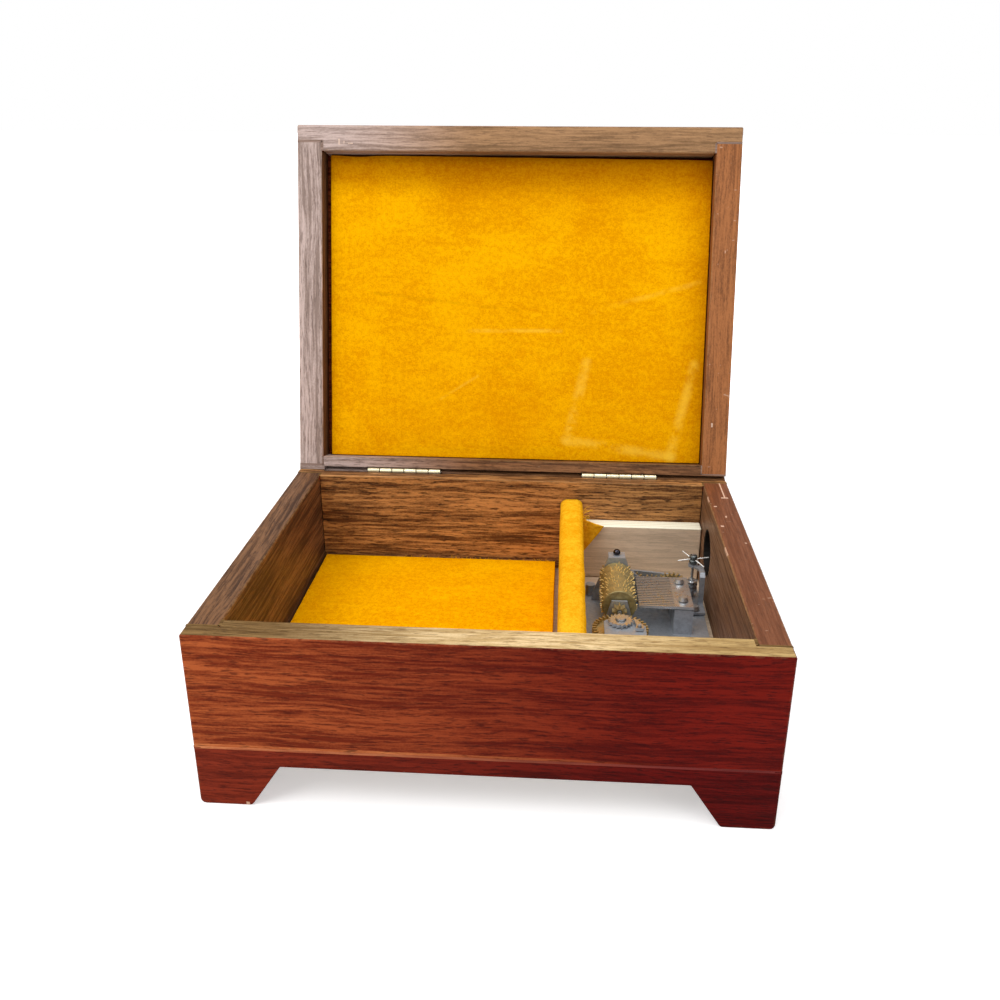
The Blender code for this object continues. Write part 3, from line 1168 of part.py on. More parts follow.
def comb():
    """Steel comb: one tooth a note, cut in a plate that is screwed to the pad."""
    pitch = CYLINDER_LENGTH / NOTES
    points = [(COMB_PAD_LEFT + COMB_HEEL, CYLINDER_FRONT), (COMB_PAD_LEFT + COMB_HEEL, CYLINDER_REAR)]
    for note in reversed(range(NOTES)):
        y = note_y(note)
        half = (pitch - COMB_SLOT) / 2
        points += [(COMB_PAD_LEFT, y + half), (COMB_TIP_X, y + half * 0.7),
                   (COMB_TIP_X, y - half * 0.7), (COMB_PAD_LEFT, y - half)]
    holes = [circle(COMB_SCREW_X, y, SCREW_RADIUS + PIVOT_GAP, 12) for y in COMB_SCREW_YS]
    outline("comb", [points, *holes], COMB_THICK, "Z", COMB_BOTTOM, STEEL)
    for i, y in enumerate(COMB_SCREW_YS):
        screw(f"comb_screw_{i + 1}", COMB_SCREW_X, y, COMB_TOP + JOINT_GAP, COMB_SHANK, 1)


def screw(name, x, y, seat, shank, up):
    """Round-head screw: head on the seat, shank pointing the other way."""
    head = SCREW_HEAD_HEIGHT
    if up > 0:
        whole = cylinder(name, (x, y, seat), head, SCREW_HEAD_RADIUS * DOME_HEAD_SHARE, "Z", STEEL,
                         segments=16, end_radius=SCREW_HEAD_RADIUS * DOME_HEAD_TOP_SHARE)
    else:
        whole = cylinder(name, (x, y, seat - head), head, SCREW_HEAD_RADIUS, "Z", STEEL, segments=16)
    low = seat - shank if up > 0 else seat - head / 2
    high = seat + head / 2 if up > 0 else seat + shank
    boolean(whole, cylinder(f"{name}_shank", (x, y, low), high - low, SCREW_RADIUS, "Z", segments=12),
            "UNION")
    return whole


def pivot_holes(plate, y):
    """Holes for the pivots of the three train arbors."""
    for i, (x, z) in enumerate(((SECOND_X, SECOND_Z), (THIRD_X, TRAIN_Z), (FOURTH_X, TRAIN_Z))):
        boolean(plate, cylinder(f"{plate.name}_pivot_{i}", (x, y - CUT_PAST, z), PLATE_THICK + 2 * CUT_PAST,
                                PIVOT_RADIUS + PIVOT_GAP, "Y", segments=12))


def rear_bracket():
    """Rear bearing plate with a bent flange on top, and the plate behind the train."""
    x = CYLINDER_X
    low = BED_TOP + JOINT_GAP
    top = AXIS_RISE + CYLINDER_RADIUS + BRACKET_OVER_DRUM
    shoulder = BED_TOP + BRACKET_SHOULDER
    right = FOURTH_X + PLATE_PAST_PIVOT
    neck = AXIS_RISE + BRACKET_NECK_RISE
    points = [(x - BRACKET_LEFT, low), (right, low), (right, shoulder),
              (x + BRACKET_SHOULDER_REACH, shoulder), (x + BRACKET_NECK, neck),
              (x + FLANGE_HALF, top), (x - FLANGE_HALF, top),
              (x - BRACKET_NECK, neck), (x - BRACKET_WAIST, AXIS_RISE - BRACKET_WAIST_DROP),
              (x - BRACKET_LEFT, BED_TOP + BRACKET_LEFT_RISE)]
    plate = outline("rear_bearing_bracket", [points], PLATE_THICK, "Y", BRACKET_Y, ZINC)
    rear = BRACKET_Y + PLATE_THICK
    flange = box("bracket_flange", (x - FLANGE_HALF + TAB_INSET, rear - UNION_LAP, top - FLANGE_THICK),
                 (x + FLANGE_HALF - TAB_INSET, rear + FLANGE_DEPTH, top - TAB_INSET))
    boolean(plate, flange, "UNION")
    boolean(plate, cylinder("bracket_arbor_hole", (x, BRACKET_Y - CUT_PAST, AXIS_RISE),
                            PLATE_THICK + 2 * CUT_PAST, ARBOR_RADIUS + PIVOT_GAP, "Y", segments=16))
    pivot_holes(plate, BRACKET_Y)
    screw_y = rear + FLANGE_SCREW_BACK
    boolean(plate, cylinder("flange_hole", (x, screw_y, top - FLANGE_THICK - CUT_PAST),
                            FLANGE_THICK + 2 * CUT_PAST, PIVOT_RADIUS + PIVOT_GAP, "Z", segments=12))
    dome_screw(x, screw_y, top)
    crest = shoulder + SLOT_GAP
    rear_points = [(SECOND_X - REAR_PLATE_LEFT, low), (right, low), (right, shoulder - REAR_PLATE_DROP),
                   (SECOND_X + REAR_PLATE_CREST, crest), (SECOND_X - REAR_PLATE_CREST, crest)]
    rear_plate = outline("rear_train_plate", [rear_points], PLATE_THICK, "Y", REAR_PLATE_Y, ZINC)
    pivot_holes(rear_plate, REAR_PLATE_Y)


def dome_screw(x, y, top):
    """Dark screw with a domed head on the rear bracket's flange."""
    bm = bmesh.new()
    seat = top + JOINT_GAP
    head = [(DOME_RADIUS * math.cos(a), seat + DOME_COLLAR + DOME_RADIUS * 0.9 * math.sin(a))
            for a in (i * math.pi / 10 for i in range(4, -1, -1))]
    profile = [(0.0, seat + DOME_COLLAR + DOME_RADIUS * 0.9), *head, (DOME_RADIUS, seat),
               (PIVOT_RADIUS, seat), (PIVOT_RADIUS, seat - DOME_SHANK), (0.0, seat - DOME_SHANK)]
    verts = [bm.verts.new((r, 0.0, z)) for r, z in profile]
    edges = [bm.edges.new(pair) for pair in zip(verts, verts[1:])]
    bmesh.ops.spin(bm, geom=[*verts, *edges], cent=(0, 0, 0), axis=(0, 0, 1), angle=2 * math.pi,
                   steps=16, use_merge=True)
    bmesh.ops.remove_doubles(bm, verts=bm.verts, dist=0.000002)
    bmesh.ops.translate(bm, verts=bm.verts, vec=(x, y, 0.0))
    add_object("bracket_dome_screw", bm, DARK_STEEL, smooth=True)


def front_bracket():
    """Front bearing bracket of the cylinder, bent into a foot under it."""
    x = CYLINDER_X
    low = BED_TOP + JOINT_GAP
    top = AXIS_RISE + FRONT_BRACKET_TOP
    points = [(x - FRONT_BRACKET_HALF, low), (x + FRONT_BRACKET_HALF, low),
              (x + FRONT_BRACKET_TOP, top), (x - FRONT_BRACKET_TOP, top)]
    plate = outline("front_bearing_bracket", [points], PLATE_THICK, "Y", FRONT_BRACKET_Y, ZINC)
    foot_half = FRONT_BRACKET_HALF - FRONT_FOOT_INSET
    foot = box("front_foot", (x - foot_half, FRONT_BRACKET_Y + PLATE_THICK - UNION_LAP, low + TAB_INSET),
               (x + foot_half, FRONT_BRACKET_Y + FRONT_FOOT_DEPTH, low + FRONT_FOOT_THICK))
    boolean(plate, foot, "UNION")
    boolean(plate, cylinder("front_arbor_hole", (x, FRONT_BRACKET_Y - CUT_PAST, AXIS_RISE),
                            PLATE_THICK + 2 * CUT_PAST, ARBOR_RADIUS + PIVOT_GAP, "Y", segments=16))


def winding_bridge(click_pivot):
    """Bridge over the barrel that holds the winding arbor's top and the click."""
    low = BED_TOP + JOINT_GAP
    front = BED_FRONT + BRIDGE_INSET
    x = CYLINDER_X
    left = x - BRIDGE_HALF
    right = click_pivot[0] + BRIDGE_PAST_CLICK
    shoulder = BARREL_Y + BRIDGE_SHOULDER
    nose = BARREL_Y + BRIDGE_NOSE
    points = [(left, front), (right, front), (right, BARREL_Y - BRIDGE_NOTCH), (x + BRIDGE_HALF, shoulder),
              (x + BRIDGE_NOSE_HALF, nose), (x - BRIDGE_NOSE_HALF, nose), (left, shoulder)]
    bridge = outline("winding_bridge", [points], BRIDGE_THICK, "Z", BRIDGE_Z, ZINC)
    leg = box("bridge_leg", (left + TAB_INSET, front + TAB_INSET, low),
              (right - TAB_INSET, front + BRIDGE_LEG, BRIDGE_Z + UNION_LAP))
    boolean(bridge, leg, "UNION")
    boolean(bridge, cylinder("bridge_arbor_hole", (x, BARREL_Y, BRIDGE_Z - CUT_PAST),
                             BRIDGE_THICK + 2 * CUT_PAST, WINDING_ARBOR_RADIUS + PIVOT_GAP, "Z",
                             segments=20))
    pin_low = BRIDGE_Z + BRIDGE_THICK - UNION_LAP
    pin_high = RATCHET_Z + RATCHET_THICK + ARBOR_END
    pin = cylinder("click_pin", (*click_pivot, pin_low), pin_high - pin_low, PIVOT_RADIUS, "Z", segments=12)
    boolean(bridge, pin, "UNION")
    return bridge


def governor_bridge():
    """Bent strip that holds the governor's top pivot, screwed down in front of the fly."""
    low = BED_TOP + JOINT_GAP
    thick = STRIP_THICK
    top = FLY_Z - FLY_HUB_HEIGHT / 2 - AXIAL_GAP - thick
    front = HUB_Y - FLY_ARM - STRIP_FLY_GAP
    back = front + thick
    side = HUB_X + STRIP_SIDE
    toe = BRIDGE_FOOT_Y - BRIDGE_FOOT_HALF
    head = HUB_Y - STRIP_HEAD_BACK
    strip_side = [(toe, low), (back, low), (back, top - STRIP_BEND), (back + STRIP_BEND, top), (head, top),
                  (head, top + thick), (back + STRIP_BEND / 2, top + thick), (front, top - STRIP_BEND / 2),
                  (front, low + thick), (toe, low + thick)]
    strip = outline("governor_bridge", [strip_side], 2 * STRIP_HALF, "X", side - STRIP_HALF, ZINC)
    foot = box("bridge_foot", (BRIDGE_FOOT_X - BRIDGE_FOOT_HALF, toe + TAB_INSET, low + TAB_INSET),
               (side + STRIP_HALF - TAB_INSET, toe + 2 * BRIDGE_FOOT_HALF, low + thick - TAB_INSET))
    boolean(strip, foot, "UNION")
    root = HUB_Y - STRIP_ARM_ROOT
    arm = outline("bridge_arm", [[(HUB_X - STRIP_HALF, HUB_Y), (HUB_X + STRIP_HALF, HUB_Y),
                                  (side + STRIP_HALF - TAB_INSET, root), (side - STRIP_HALF, root)]],
                  thick - 2 * TAB_INSET, "Z", top + TAB_INSET)
    boolean(strip, arm, "UNION")
    eye = outline("bridge_eye", [circle(HUB_X, HUB_Y, STRIP_EYE, 20)], thick, "Z", top)
    boolean(strip, eye, "UNION")
    boolean(strip, cylinder("bridge_pivot_hole", (HUB_X, HUB_Y, top - CUT_PAST), thick + 2 * CUT_PAST,
                            PIVOT_RADIUS + PIVOT_GAP, "Z", segments=12))
    boolean(strip, cylinder("bridge_foot_hole", (BRIDGE_FOOT_X, BRIDGE_FOOT_Y, low - CUT_PAST),
                            thick + 2 * CUT_PAST, SCREW_RADIUS + PIVOT_GAP, "Z", segments=12))
    screw("governor_bridge_screw", BRIDGE_FOOT_X, BRIDGE_FOOT_Y, low + thick + JOINT_GAP, STRIP_SHANK, 1)


def mounting_screws():
    """Screws that hold the movement from under the bottom board."""
    for i, (x, y) in enumerate(board_screw_places()):
        screw(f"mounting_screw_{i + 1}", x, y, BOARD_BOTTOM - JOINT_GAP, BOARD_THICK + BOARD_SHANK_PAST, -1)


def build():
    """Make every part of the box."""
    case_walls()
    base_rails()
    bottom_board()
    floor_velvet_pad()
    partition()
    ledge_board()
    lid_pieces = lid() + hinges()
    drum = cylinder_group()
    groups = train()
    spinner = governor()
    barrel = barrel_group()
    winding = winding_group()
    click, click_pivot = click_group()
    bedplate()
    comb()
    rear_bracket()
    front_bracket()
    winding_bridge(click_pivot)
    governor_bridge()
    mounting_screws()
    hang_on("lid_axis", (0.0, AXIS_Y, AXIS_Z), lid_pieces, -HINGE_OPEN)
    hang_on("cylinder_axis", (CYLINDER_X, CYLINDER_FRONT, AXIS_RISE), drum)
    for name, x, z in (("second", SECOND_X, SECOND_Z), ("third", THIRD_X, TRAIN_Z),
                       ("fourth", FOURTH_X, TRAIN_Z)):
        hang_on(f"{name}_axis", (x, WORM_WHEEL_Y, z), groups[name])
    hang_on("governor_axis", (HUB_X, HUB_Y, TRAIN_Z), spinner)
    hang_on("barrel_axis", (CYLINDER_X, BARREL_Y, BARREL_BOTTOM), barrel)
    hang_on("winding_axis", (CYLINDER_X, BARREL_Y, 0.0), winding)
    hang_on("click_axis", (*click_pivot, RATCHET_Z), [click])


build()
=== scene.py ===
import math
import random

import bmesh
import bpy
from bpy.props import FloatProperty, FloatVectorProperty, IntProperty, PointerProperty
from mathutils import Matrix, Vector, noise


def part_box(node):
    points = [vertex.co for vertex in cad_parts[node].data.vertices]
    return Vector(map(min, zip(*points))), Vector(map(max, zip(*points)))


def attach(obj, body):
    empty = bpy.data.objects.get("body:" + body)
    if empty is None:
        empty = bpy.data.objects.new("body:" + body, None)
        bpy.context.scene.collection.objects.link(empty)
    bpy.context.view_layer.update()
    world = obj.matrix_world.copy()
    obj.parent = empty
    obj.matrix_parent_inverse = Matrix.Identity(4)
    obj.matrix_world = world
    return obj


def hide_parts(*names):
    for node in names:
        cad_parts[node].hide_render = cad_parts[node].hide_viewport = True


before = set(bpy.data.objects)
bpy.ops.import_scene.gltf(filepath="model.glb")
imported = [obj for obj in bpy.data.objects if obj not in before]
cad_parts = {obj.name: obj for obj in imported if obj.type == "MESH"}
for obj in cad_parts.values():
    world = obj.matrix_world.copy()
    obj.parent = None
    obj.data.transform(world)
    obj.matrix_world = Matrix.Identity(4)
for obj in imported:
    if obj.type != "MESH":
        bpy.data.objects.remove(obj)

bl_info = {
    "name": "Musical jewelry box",
    "version": (1, 0, 0),
    "blender": (4, 5, 0),
    "location": "View3D > Sidebar > Jewelry box",
    "description": "Dresses the walnut jewelry box with wood, velvet and its music movement",
    "category": "Object",
}

MM = 0.001
LEVEL = 0.05 * MM
OUT_OF_REACH = 0.2
MERGE = 0.002 * MM
SMOOTH_ANGLE = math.radians(40)
STAIN_DEPTH = 0.15 * MM
CLOTH_PRESSURE = 4.0
CLOTH_QUALITY = 5
CLOTH_FRAMES = 20
SENSOR_WIDTH = 36.0

FRONT_LOW, FRONT_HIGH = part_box("front_wall")
REAR_LOW, REAR_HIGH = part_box("rear_wall")
RIGHT_LOW, RIGHT_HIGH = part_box("right_wall")
BASE_LOW, BASE_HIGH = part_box("front_base_rail")
PIN_LOW, PIN_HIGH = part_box("left_hinge_pin")
WORM_LOW, WORM_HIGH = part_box("governor_worm")
HINGE = Vector((0.0, (PIN_LOW[1] + PIN_HIGH[1]) / 2, (PIN_LOW[2] + PIN_HIGH[2]) / 2))
LID_TRAVEL = math.radians(104.4)
OPENED = Matrix.Translation(HINGE) @ Matrix.Rotation(-LID_TRAVEL, 4, "X") @ Matrix.Translation(-HINGE)
CLOSED = OPENED.inverted()
# Span along x over which the outer faces darken from left to right: partly the wood's own colour, partly
# painted shade away from the light at the left
FRONT_FADE = ("x", FRONT_LOW[0] * 1.3, FRONT_HIGH[0] * 0.75)
GROUPS = {}


# Shader building

def add_node(tree, kind, **settings):
    """New node with its settings; names with a capital are its inputs."""
    made = tree.nodes.new(kind)
    for name, value in settings.items():
        if name[0].isupper():
            feed(tree, made.inputs[name.replace("_", " ")], value)
        else:
            setattr(made, name, value)
    return made


def feed(tree, socket, value):
    """Link an output, or set a constant."""
    if isinstance(value, bpy.types.NodeSocket):
        tree.links.new(value, socket)
    elif socket.type == "RGBA" and len(value) == 3:
        socket.default_value = (*value, 1.0)
    else:
        socket.default_value = value


def calc(tree, operation, first, second=0.0, third=0.0, clamp=False):
    """Math node on values or sockets."""
    made = tree.nodes.new("ShaderNodeMath")
    made.operation = operation
    made.use_clamp = clamp
    for socket, value in zip(made.inputs, (first, second, third)):
        feed(tree, socket, value)
    return made.outputs[0]


def vector_calc(tree, operation, first, second=(0.0, 0.0, 0.0)):
    """Vector math node."""
    made = tree.nodes.new("ShaderNodeVectorMath")
    made.operation = operation
    feed(tree, made.inputs[0], first)
    feed(tree, made.inputs[1], second)
    return made.outputs["Value"] if operation in {"DISTANCE", "LENGTH", "DOT_PRODUCT"} else made.outputs[0]


def ramp(tree, value, low, high, to_low=0.0, to_high=1.0):
    """Smooth step of a value from low to high."""
    made = add_node(tree, "ShaderNodeMapRange", interpolation_type="SMOOTHSTEP")
    feed(tree, made.inputs["Value"], value)
    for name, number in (("From Min", low), ("From Max", high), ("To Min", to_low), ("To Max", to_high)):
        feed(tree, made.inputs[name], number)
    return made.outputs["Result"]


def blend(tree, share, first, second, mode="MIX"):
    """Colour mix."""
    made = tree.nodes.new("ShaderNodeMix")
    made.data_type = "RGBA"
    made.blend_type = mode
    feed(tree, made.inputs[0], share)
    feed(tree, made.inputs[6], first)
    feed(tree, made.inputs[7], second)
    return made.outputs[2]


def noise_value(tree, vector, scale, detail=3.0, roughness=0.55, distortion=0.0):
    """Noise texture value."""
    made = add_node(tree, "ShaderNodeTexNoise", Vector=vector, Scale=scale, Detail=detail,
                    Roughness=roughness, Distortion=distortion)
    return made.outputs["Fac"]


def new_group(name, inputs, outputs):
    """Empty shader node group with named sockets."""
    group = bpy.data.node_groups.new(name, "ShaderNodeTree")
    kinds = {"V": "NodeSocketVector", "C": "NodeSocketColor", "F": "NodeSocketFloat"}
    for title, kind, value in inputs:
        socket = group.interface.new_socket(title, in_out="INPUT", socket_type=kinds[kind])
        socket.default_value = (*value, 1.0) if kind == "C" else value
    for title, kind in outputs:
        group.interface.new_socket(title, in_out="OUTPUT", socket_type=kinds[kind])
    entry = group.nodes.new("NodeGroupInput").outputs
    leave = group.nodes.new("NodeGroupOutput").inputs
    return group, entry, leave


def build_walnut_grain():
    """Straight grain along X: growth bands, fine streaks, short dark pores and a fine speckle."""
    group, entry, leave = new_group(
        "Walnut grain",
        [("Vector", "V", (0, 0, 0)), ("Light", "C", (0.3, 0.15, 0.08)), ("Dark", "C", (0.1, 0.04, 0.02)),
         ("Pore", "C", (0.02, 0.01, 0.005)), ("Bands", "F", 0.5), ("Pores", "F", 0.7), ("Speckle", "F", 0.3)],
        [("Color", "C"), ("Height", "F"), ("Roughness", "F")])
    in_mm = vector_calc(group, "MULTIPLY", entry["Vector"], (1000.0, 1000.0, 1000.0))
    wander = noise_value(group, vector_calc(group, "MULTIPLY", in_mm, (0.014, 0.03, 0.03)), 1.0, 2.0)
    sway = add_node(group, "ShaderNodeCombineXYZ", Y=calc(group, "MULTIPLY", wander, 5.0),
                    Z=calc(group, "MULTIPLY", wander, 6.0)).outputs[0]
    swayed = vector_calc(group, "ADD", in_mm, sway)
    band = noise_value(group, vector_calc(group, "MULTIPLY", swayed, (0.005, 0.2, 0.2)), 1.0, 2.0)
    streak = noise_value(group, vector_calc(group, "MULTIPLY", swayed, (0.04, 0.95, 0.95)), 1.0, 3.0, 0.65)
    pore = noise_value(group, vector_calc(group, "MULTIPLY", swayed, (0.22, 2.1, 2.1)), 1.0, 2.0, 0.6)
    grit = noise_value(group, vector_calc(group, "MULTIPLY", in_mm, (1.3, 2.0, 2.0)), 1.0, 2.0, 0.6)
    banded = calc(group, "MULTIPLY", ramp(group, band, 0.34, 0.66, -0.5, 0.5), entry["Bands"])
    speckle = calc(group, "MULTIPLY", ramp(group, grit, 0.3, 0.7, -0.5, 0.5), entry["Speckle"])
    uneven = calc(group, "ADD", banded, speckle)
    lined = calc(group, "ADD", ramp(group, streak, 0.33, 0.67), uneven, clamp=True)
    tone = blend(group, lined, entry["Light"], entry["Dark"])
    share = calc(group, "MULTIPLY", ramp(group, pore, 0.52, 0.66), entry["Pores"])
    group.links.new(blend(group, share, tone, entry["Pore"]), leave["Color"])
    group.links.new(calc(group, "SUBTRACT", calc(group, "MULTIPLY", grit, 0.5), share), leave["Height"])
    group.links.new(streak, leave["Roughness"])
    return group


def build_edge_wear():
    """Mask along the edges of a box-shaped board, broken up by noise."""
    group, entry, leave = new_group(
        "Edge wear",
        [("Vector", "V", (0, 0, 0)), ("Low", "V", (0, 0, 0)), ("High", "V", (1, 1, 1)),
         ("Width", "F", 0.001), ("Amount", "F", 1.0)],
        [("Mask", "F")])
    from_low = vector_calc(group, "SUBTRACT", entry["Vector"], entry["Low"])
    from_high = vector_calc(group, "SUBTRACT", entry["High"], entry["Vector"])
    depth = vector_calc(group, "MINIMUM", from_low, from_high)
    x, y, z = add_node(group, "ShaderNodeSeparateXYZ", Vector=depth).outputs
    lesser = calc(group, "MINIMUM", x, y)
    greater = calc(group, "MAXIMUM", x, y)
    second = calc(group, "MAXIMUM", lesser, calc(group, "MINIMUM", greater, z))
    rough = noise_value(group, entry["Vector"], 420.0, 4.0, 0.65)
    reach = calc(group, "MULTIPLY", entry["Width"], ramp(group, rough, 0.35, 0.7, 0.1, 1.6))
    mask = calc(group, "SUBTRACT", 1.0, calc(group, "DIVIDE", second, reach), clamp=True)
    group.links.new(calc(group, "MULTIPLY", mask, entry["Amount"]), leave["Mask"])
    return group


def build_marked_place():
    """Box-shaped place with a soft, uneven border, for stripes, nicks, end grain, and painted shade and
    highlights.
    """
    group, entry, leave = new_group(
        "Marked place",
        [("Vector", "V", (0, 0, 0)), ("Low", "V", (0, 0, 0)), ("High", "V", (1, 1, 1)),
         ("Soft", "F", 0.0002), ("Uneven", "F", 0.0), ("Share", "F", 1.0)],
        [("Mask", "F")])
    outside = vector_calc(group, "MAXIMUM", vector_calc(group, "SUBTRACT", entry["Low"], entry["Vector"]),
                          vector_calc(group, "SUBTRACT", entry["Vector"], entry["High"]))
    x, y, z = add_node(group, "ShaderNodeSeparateXYZ", Vector=outside).outputs
    away = calc(group, "MAXIMUM", calc(group, "MAXIMUM", x, y), z)
    rough = noise_value(group, entry["Vector"], 1500.0, 2.0)
    shift = calc(group, "MULTIPLY", calc(group, "SUBTRACT", rough, 0.5), entry["Uneven"])
    away = calc(group, "ADD", away, shift)
    mask = ramp(group, away, 0.0, entry["Soft"], 1.0, 0.0)
    group.links.new(calc(group, "MULTIPLY", mask, entry["Share"]), leave["Mask"])
    return group


def build_scuffs():
    """Sparse small pale dents and scratches."""
    group, entry, leave = new_group("Scuffs", [("Vector", "V", (0, 0, 0)), ("Amount", "F", 0.5)],
                                    [("Mask", "F")])
    turned = add_node(group, "ShaderNodeMapping", Vector=entry["Vector"], Rotation=(0.5, 0.4, 0.7),
                      Scale=(420.0, 900.0, 900.0))
    specks = noise_value(group, turned.outputs[0], 1.0, 1.0)
    patches = noise_value(group, entry["Vector"], 45.0, 2.0)
    mask = calc(group, "MULTIPLY", ramp(group, specks, 0.71, 0.76), ramp(group, patches, 0.5, 0.62))
    group.links.new(calc(group, "MULTIPLY", mask, entry["Amount"]), leave["Mask"])
    return group


def build_velvet_nap():
    """Pile that lies in patches, with the fine grain of the nap."""
    group, entry, leave = new_group(
        "Velvet nap",
        [("Vector", "V", (0, 0, 0)), ("Lit", "C", (0.95, 0.5, 0.03)), ("Deep", "C", (0.7, 0.3, 0.0)),
         ("Patches", "F", 0.7)],
        [("Color", "C"), ("Height", "F")])
    cloud = noise_value(group, entry["Vector"], 30.0, 5.0, 0.6, 0.5)
    stroke = noise_value(group, vector_calc(group, "MULTIPLY", entry["Vector"], (90.0, 260.0, 200.0)),
                         1.0, 4.0, 0.6, 1.2)
    pile = noise_value(group, entry["Vector"], 1700.0, 3.0, 0.7)
    tuft = noise_value(group, entry["Vector"], 620.0, 3.0, 0.6)
    patch = ramp(group, calc(group, "ADD", calc(group, "MULTIPLY", cloud, 0.6),
                             calc(group, "MULTIPLY", stroke, 0.4)), 0.36, 0.64, -0.5, 0.5)
    share = calc(group, "MULTIPLY_ADD", patch, entry["Patches"], 0.5)
    share = calc(group, "ADD", share, ramp(group, pile, 0.34, 0.66, -0.36, 0.36))
    share = calc(group, "ADD", share, ramp(group, tuft, 0.34, 0.66, -0.24, 0.24), clamp=True)
    group.links.new(blend(group, share, entry["Deep"], entry["Lit"]), leave["Color"])
    group.links.new(calc(group, "ADD", pile, tuft), leave["Height"])
    return group


def build_pressed_line():
    """Soft mark that an edge has left in the nap, from Start to End."""
    group, entry, leave = new_group(
        "Pressed line",
        [("Vector", "V", (0, 0, 0)), ("Start", "V", (0, 0, 0)), ("End", "V", (1, 0, 0)),
         ("Width", "F", 0.001), ("Share", "F", 0.5)],
        [("Mask", "F")])
    along = vector_calc(group, "SUBTRACT", entry["End"], entry["Start"])
    offset = vector_calc(group, "SUBTRACT", entry["Vector"], entry["Start"])
    reach = vector_calc(group, "DOT_PRODUCT", offset, along)
    span = vector_calc(group, "DOT_PRODUCT", along, along)
    share = calc(group, "DIVIDE", reach, span, clamp=True)
    foot = add_node(group, "ShaderNodeVectorMath", operation="SCALE", Scale=share)
    feed(group, foot.inputs[0], along)
    gap = vector_calc(group, "DISTANCE", offset, foot.outputs[0])
    fade = noise_value(group, entry["Vector"], 110.0, 4.0, 0.7)
    mask = calc(group, "MULTIPLY", ramp(group, gap, 0.0, entry["Width"], 1.0, 0.0),
                ramp(group, fade, 0.36, 0.6))
    group.links.new(calc(group, "MULTIPLY", mask, entry["Share"]), leave["Mask"])
    return group


def build_metal_film():
    """Dull film and fine scratches on metal."""
    group, entry, leave = new_group(
        "Metal film",
        [("Vector", "V", (0, 0, 0)), ("Clean", "C", (0.6, 0.6, 0.6)), ("Dull", "C", (0.3, 0.3, 0.3)),
         ("Film", "F", 0.5)],
        [("Color", "C"), ("Roughness", "F"), ("Height", "F")])
    cloud = noise_value(group, entry["Vector"], 420.0, 4.0, 0.65)
    scratch = noise_value(group, vector_calc(group, "MULTIPLY", entry["Vector"], (700.0, 4200.0, 2400.0)),
                          1.0, 2.0)
    film = calc(group, "MULTIPLY", ramp(group, cloud, 0.35, 0.66), entry["Film"])
    group.links.new(blend(group, film, entry["Clean"], entry["Dull"]), leave["Color"])
    group.links.new(calc(group, "ADD", film, calc(group, "MULTIPLY", scratch, 0.3)), leave["Roughness"])
    group.links.new(scratch, leave["Height"])
    return group


def group_node(tree, name, **values):
    """A node group placed in a material with its own values."""
    return add_node(tree, "ShaderNodeGroup", node_tree=GROUPS[name], **values)


def new_material(name):
    """Material with its Principled shader and object coordinates."""
    mat = bpy.data.materials.new(name)
    mat.use_nodes = True
    tree = mat.node_tree
    shader = tree.nodes["Principled BSDF"]
    where = add_node(tree, "ShaderNodeTexCoord").outputs["Object"]
    return mat, tree, shader, where


def bump(tree, shader, height, distance, strength=1.0):
    """Bump from a height in metres."""
    made = add_node(tree, "ShaderNodeBump", Strength=strength, Distance=distance, Height=height)
    tree.links.new(made.outputs["Normal"], shader.inputs["Normal"])


def set_inputs(shader, **values):
    """Constant inputs of a shader, with underscores for the spaces in their names."""
    for name, value in values.items():
        shader.inputs[name.replace("_", " ")].default_value = value


def closed_lid_vector(tree, where):
    """Object coordinates turned back to where the closed lid would be."""
    shift = CLOSED @ Vector((0, 0, 0))
    made = add_node(tree, "ShaderNodeMapping", Vector=where, Location=tuple(shift),
                    Rotation=(LID_TRAVEL, 0.0, 0.0))
    return made.outputs[0]


GRAIN_TURN = {"X": (0.0, 0.0, 0.0), "Y": (0.0, 0.0, -math.pi / 2), "Z": (0.0, math.pi / 2, 0.0)}


def board_extent(name, on_lid=False):
    """Corners of a board, in the closed lid's coordinates where it is part of the lid."""
    points = [v.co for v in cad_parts[name].data.vertices]
    if on_lid:
        points = [CLOSED @ p for p in points]
    low = [min(p[i] for p in points) for i in range(3)]
    high = [max(p[i] for p in points) for i in range(3)]
    return low, high


def place_share(tree, where, conditions):
    """Product of soft steps along the axes, each from its start to its end."""
    axes = add_node(tree, "ShaderNodeSeparateXYZ", Vector=where).outputs
    share = 1.0
    for axis, start, end in conditions:
        share = calc(tree, "MULTIPLY", share, ramp(tree, axes["xyz".index(axis)], start, end))
    return share


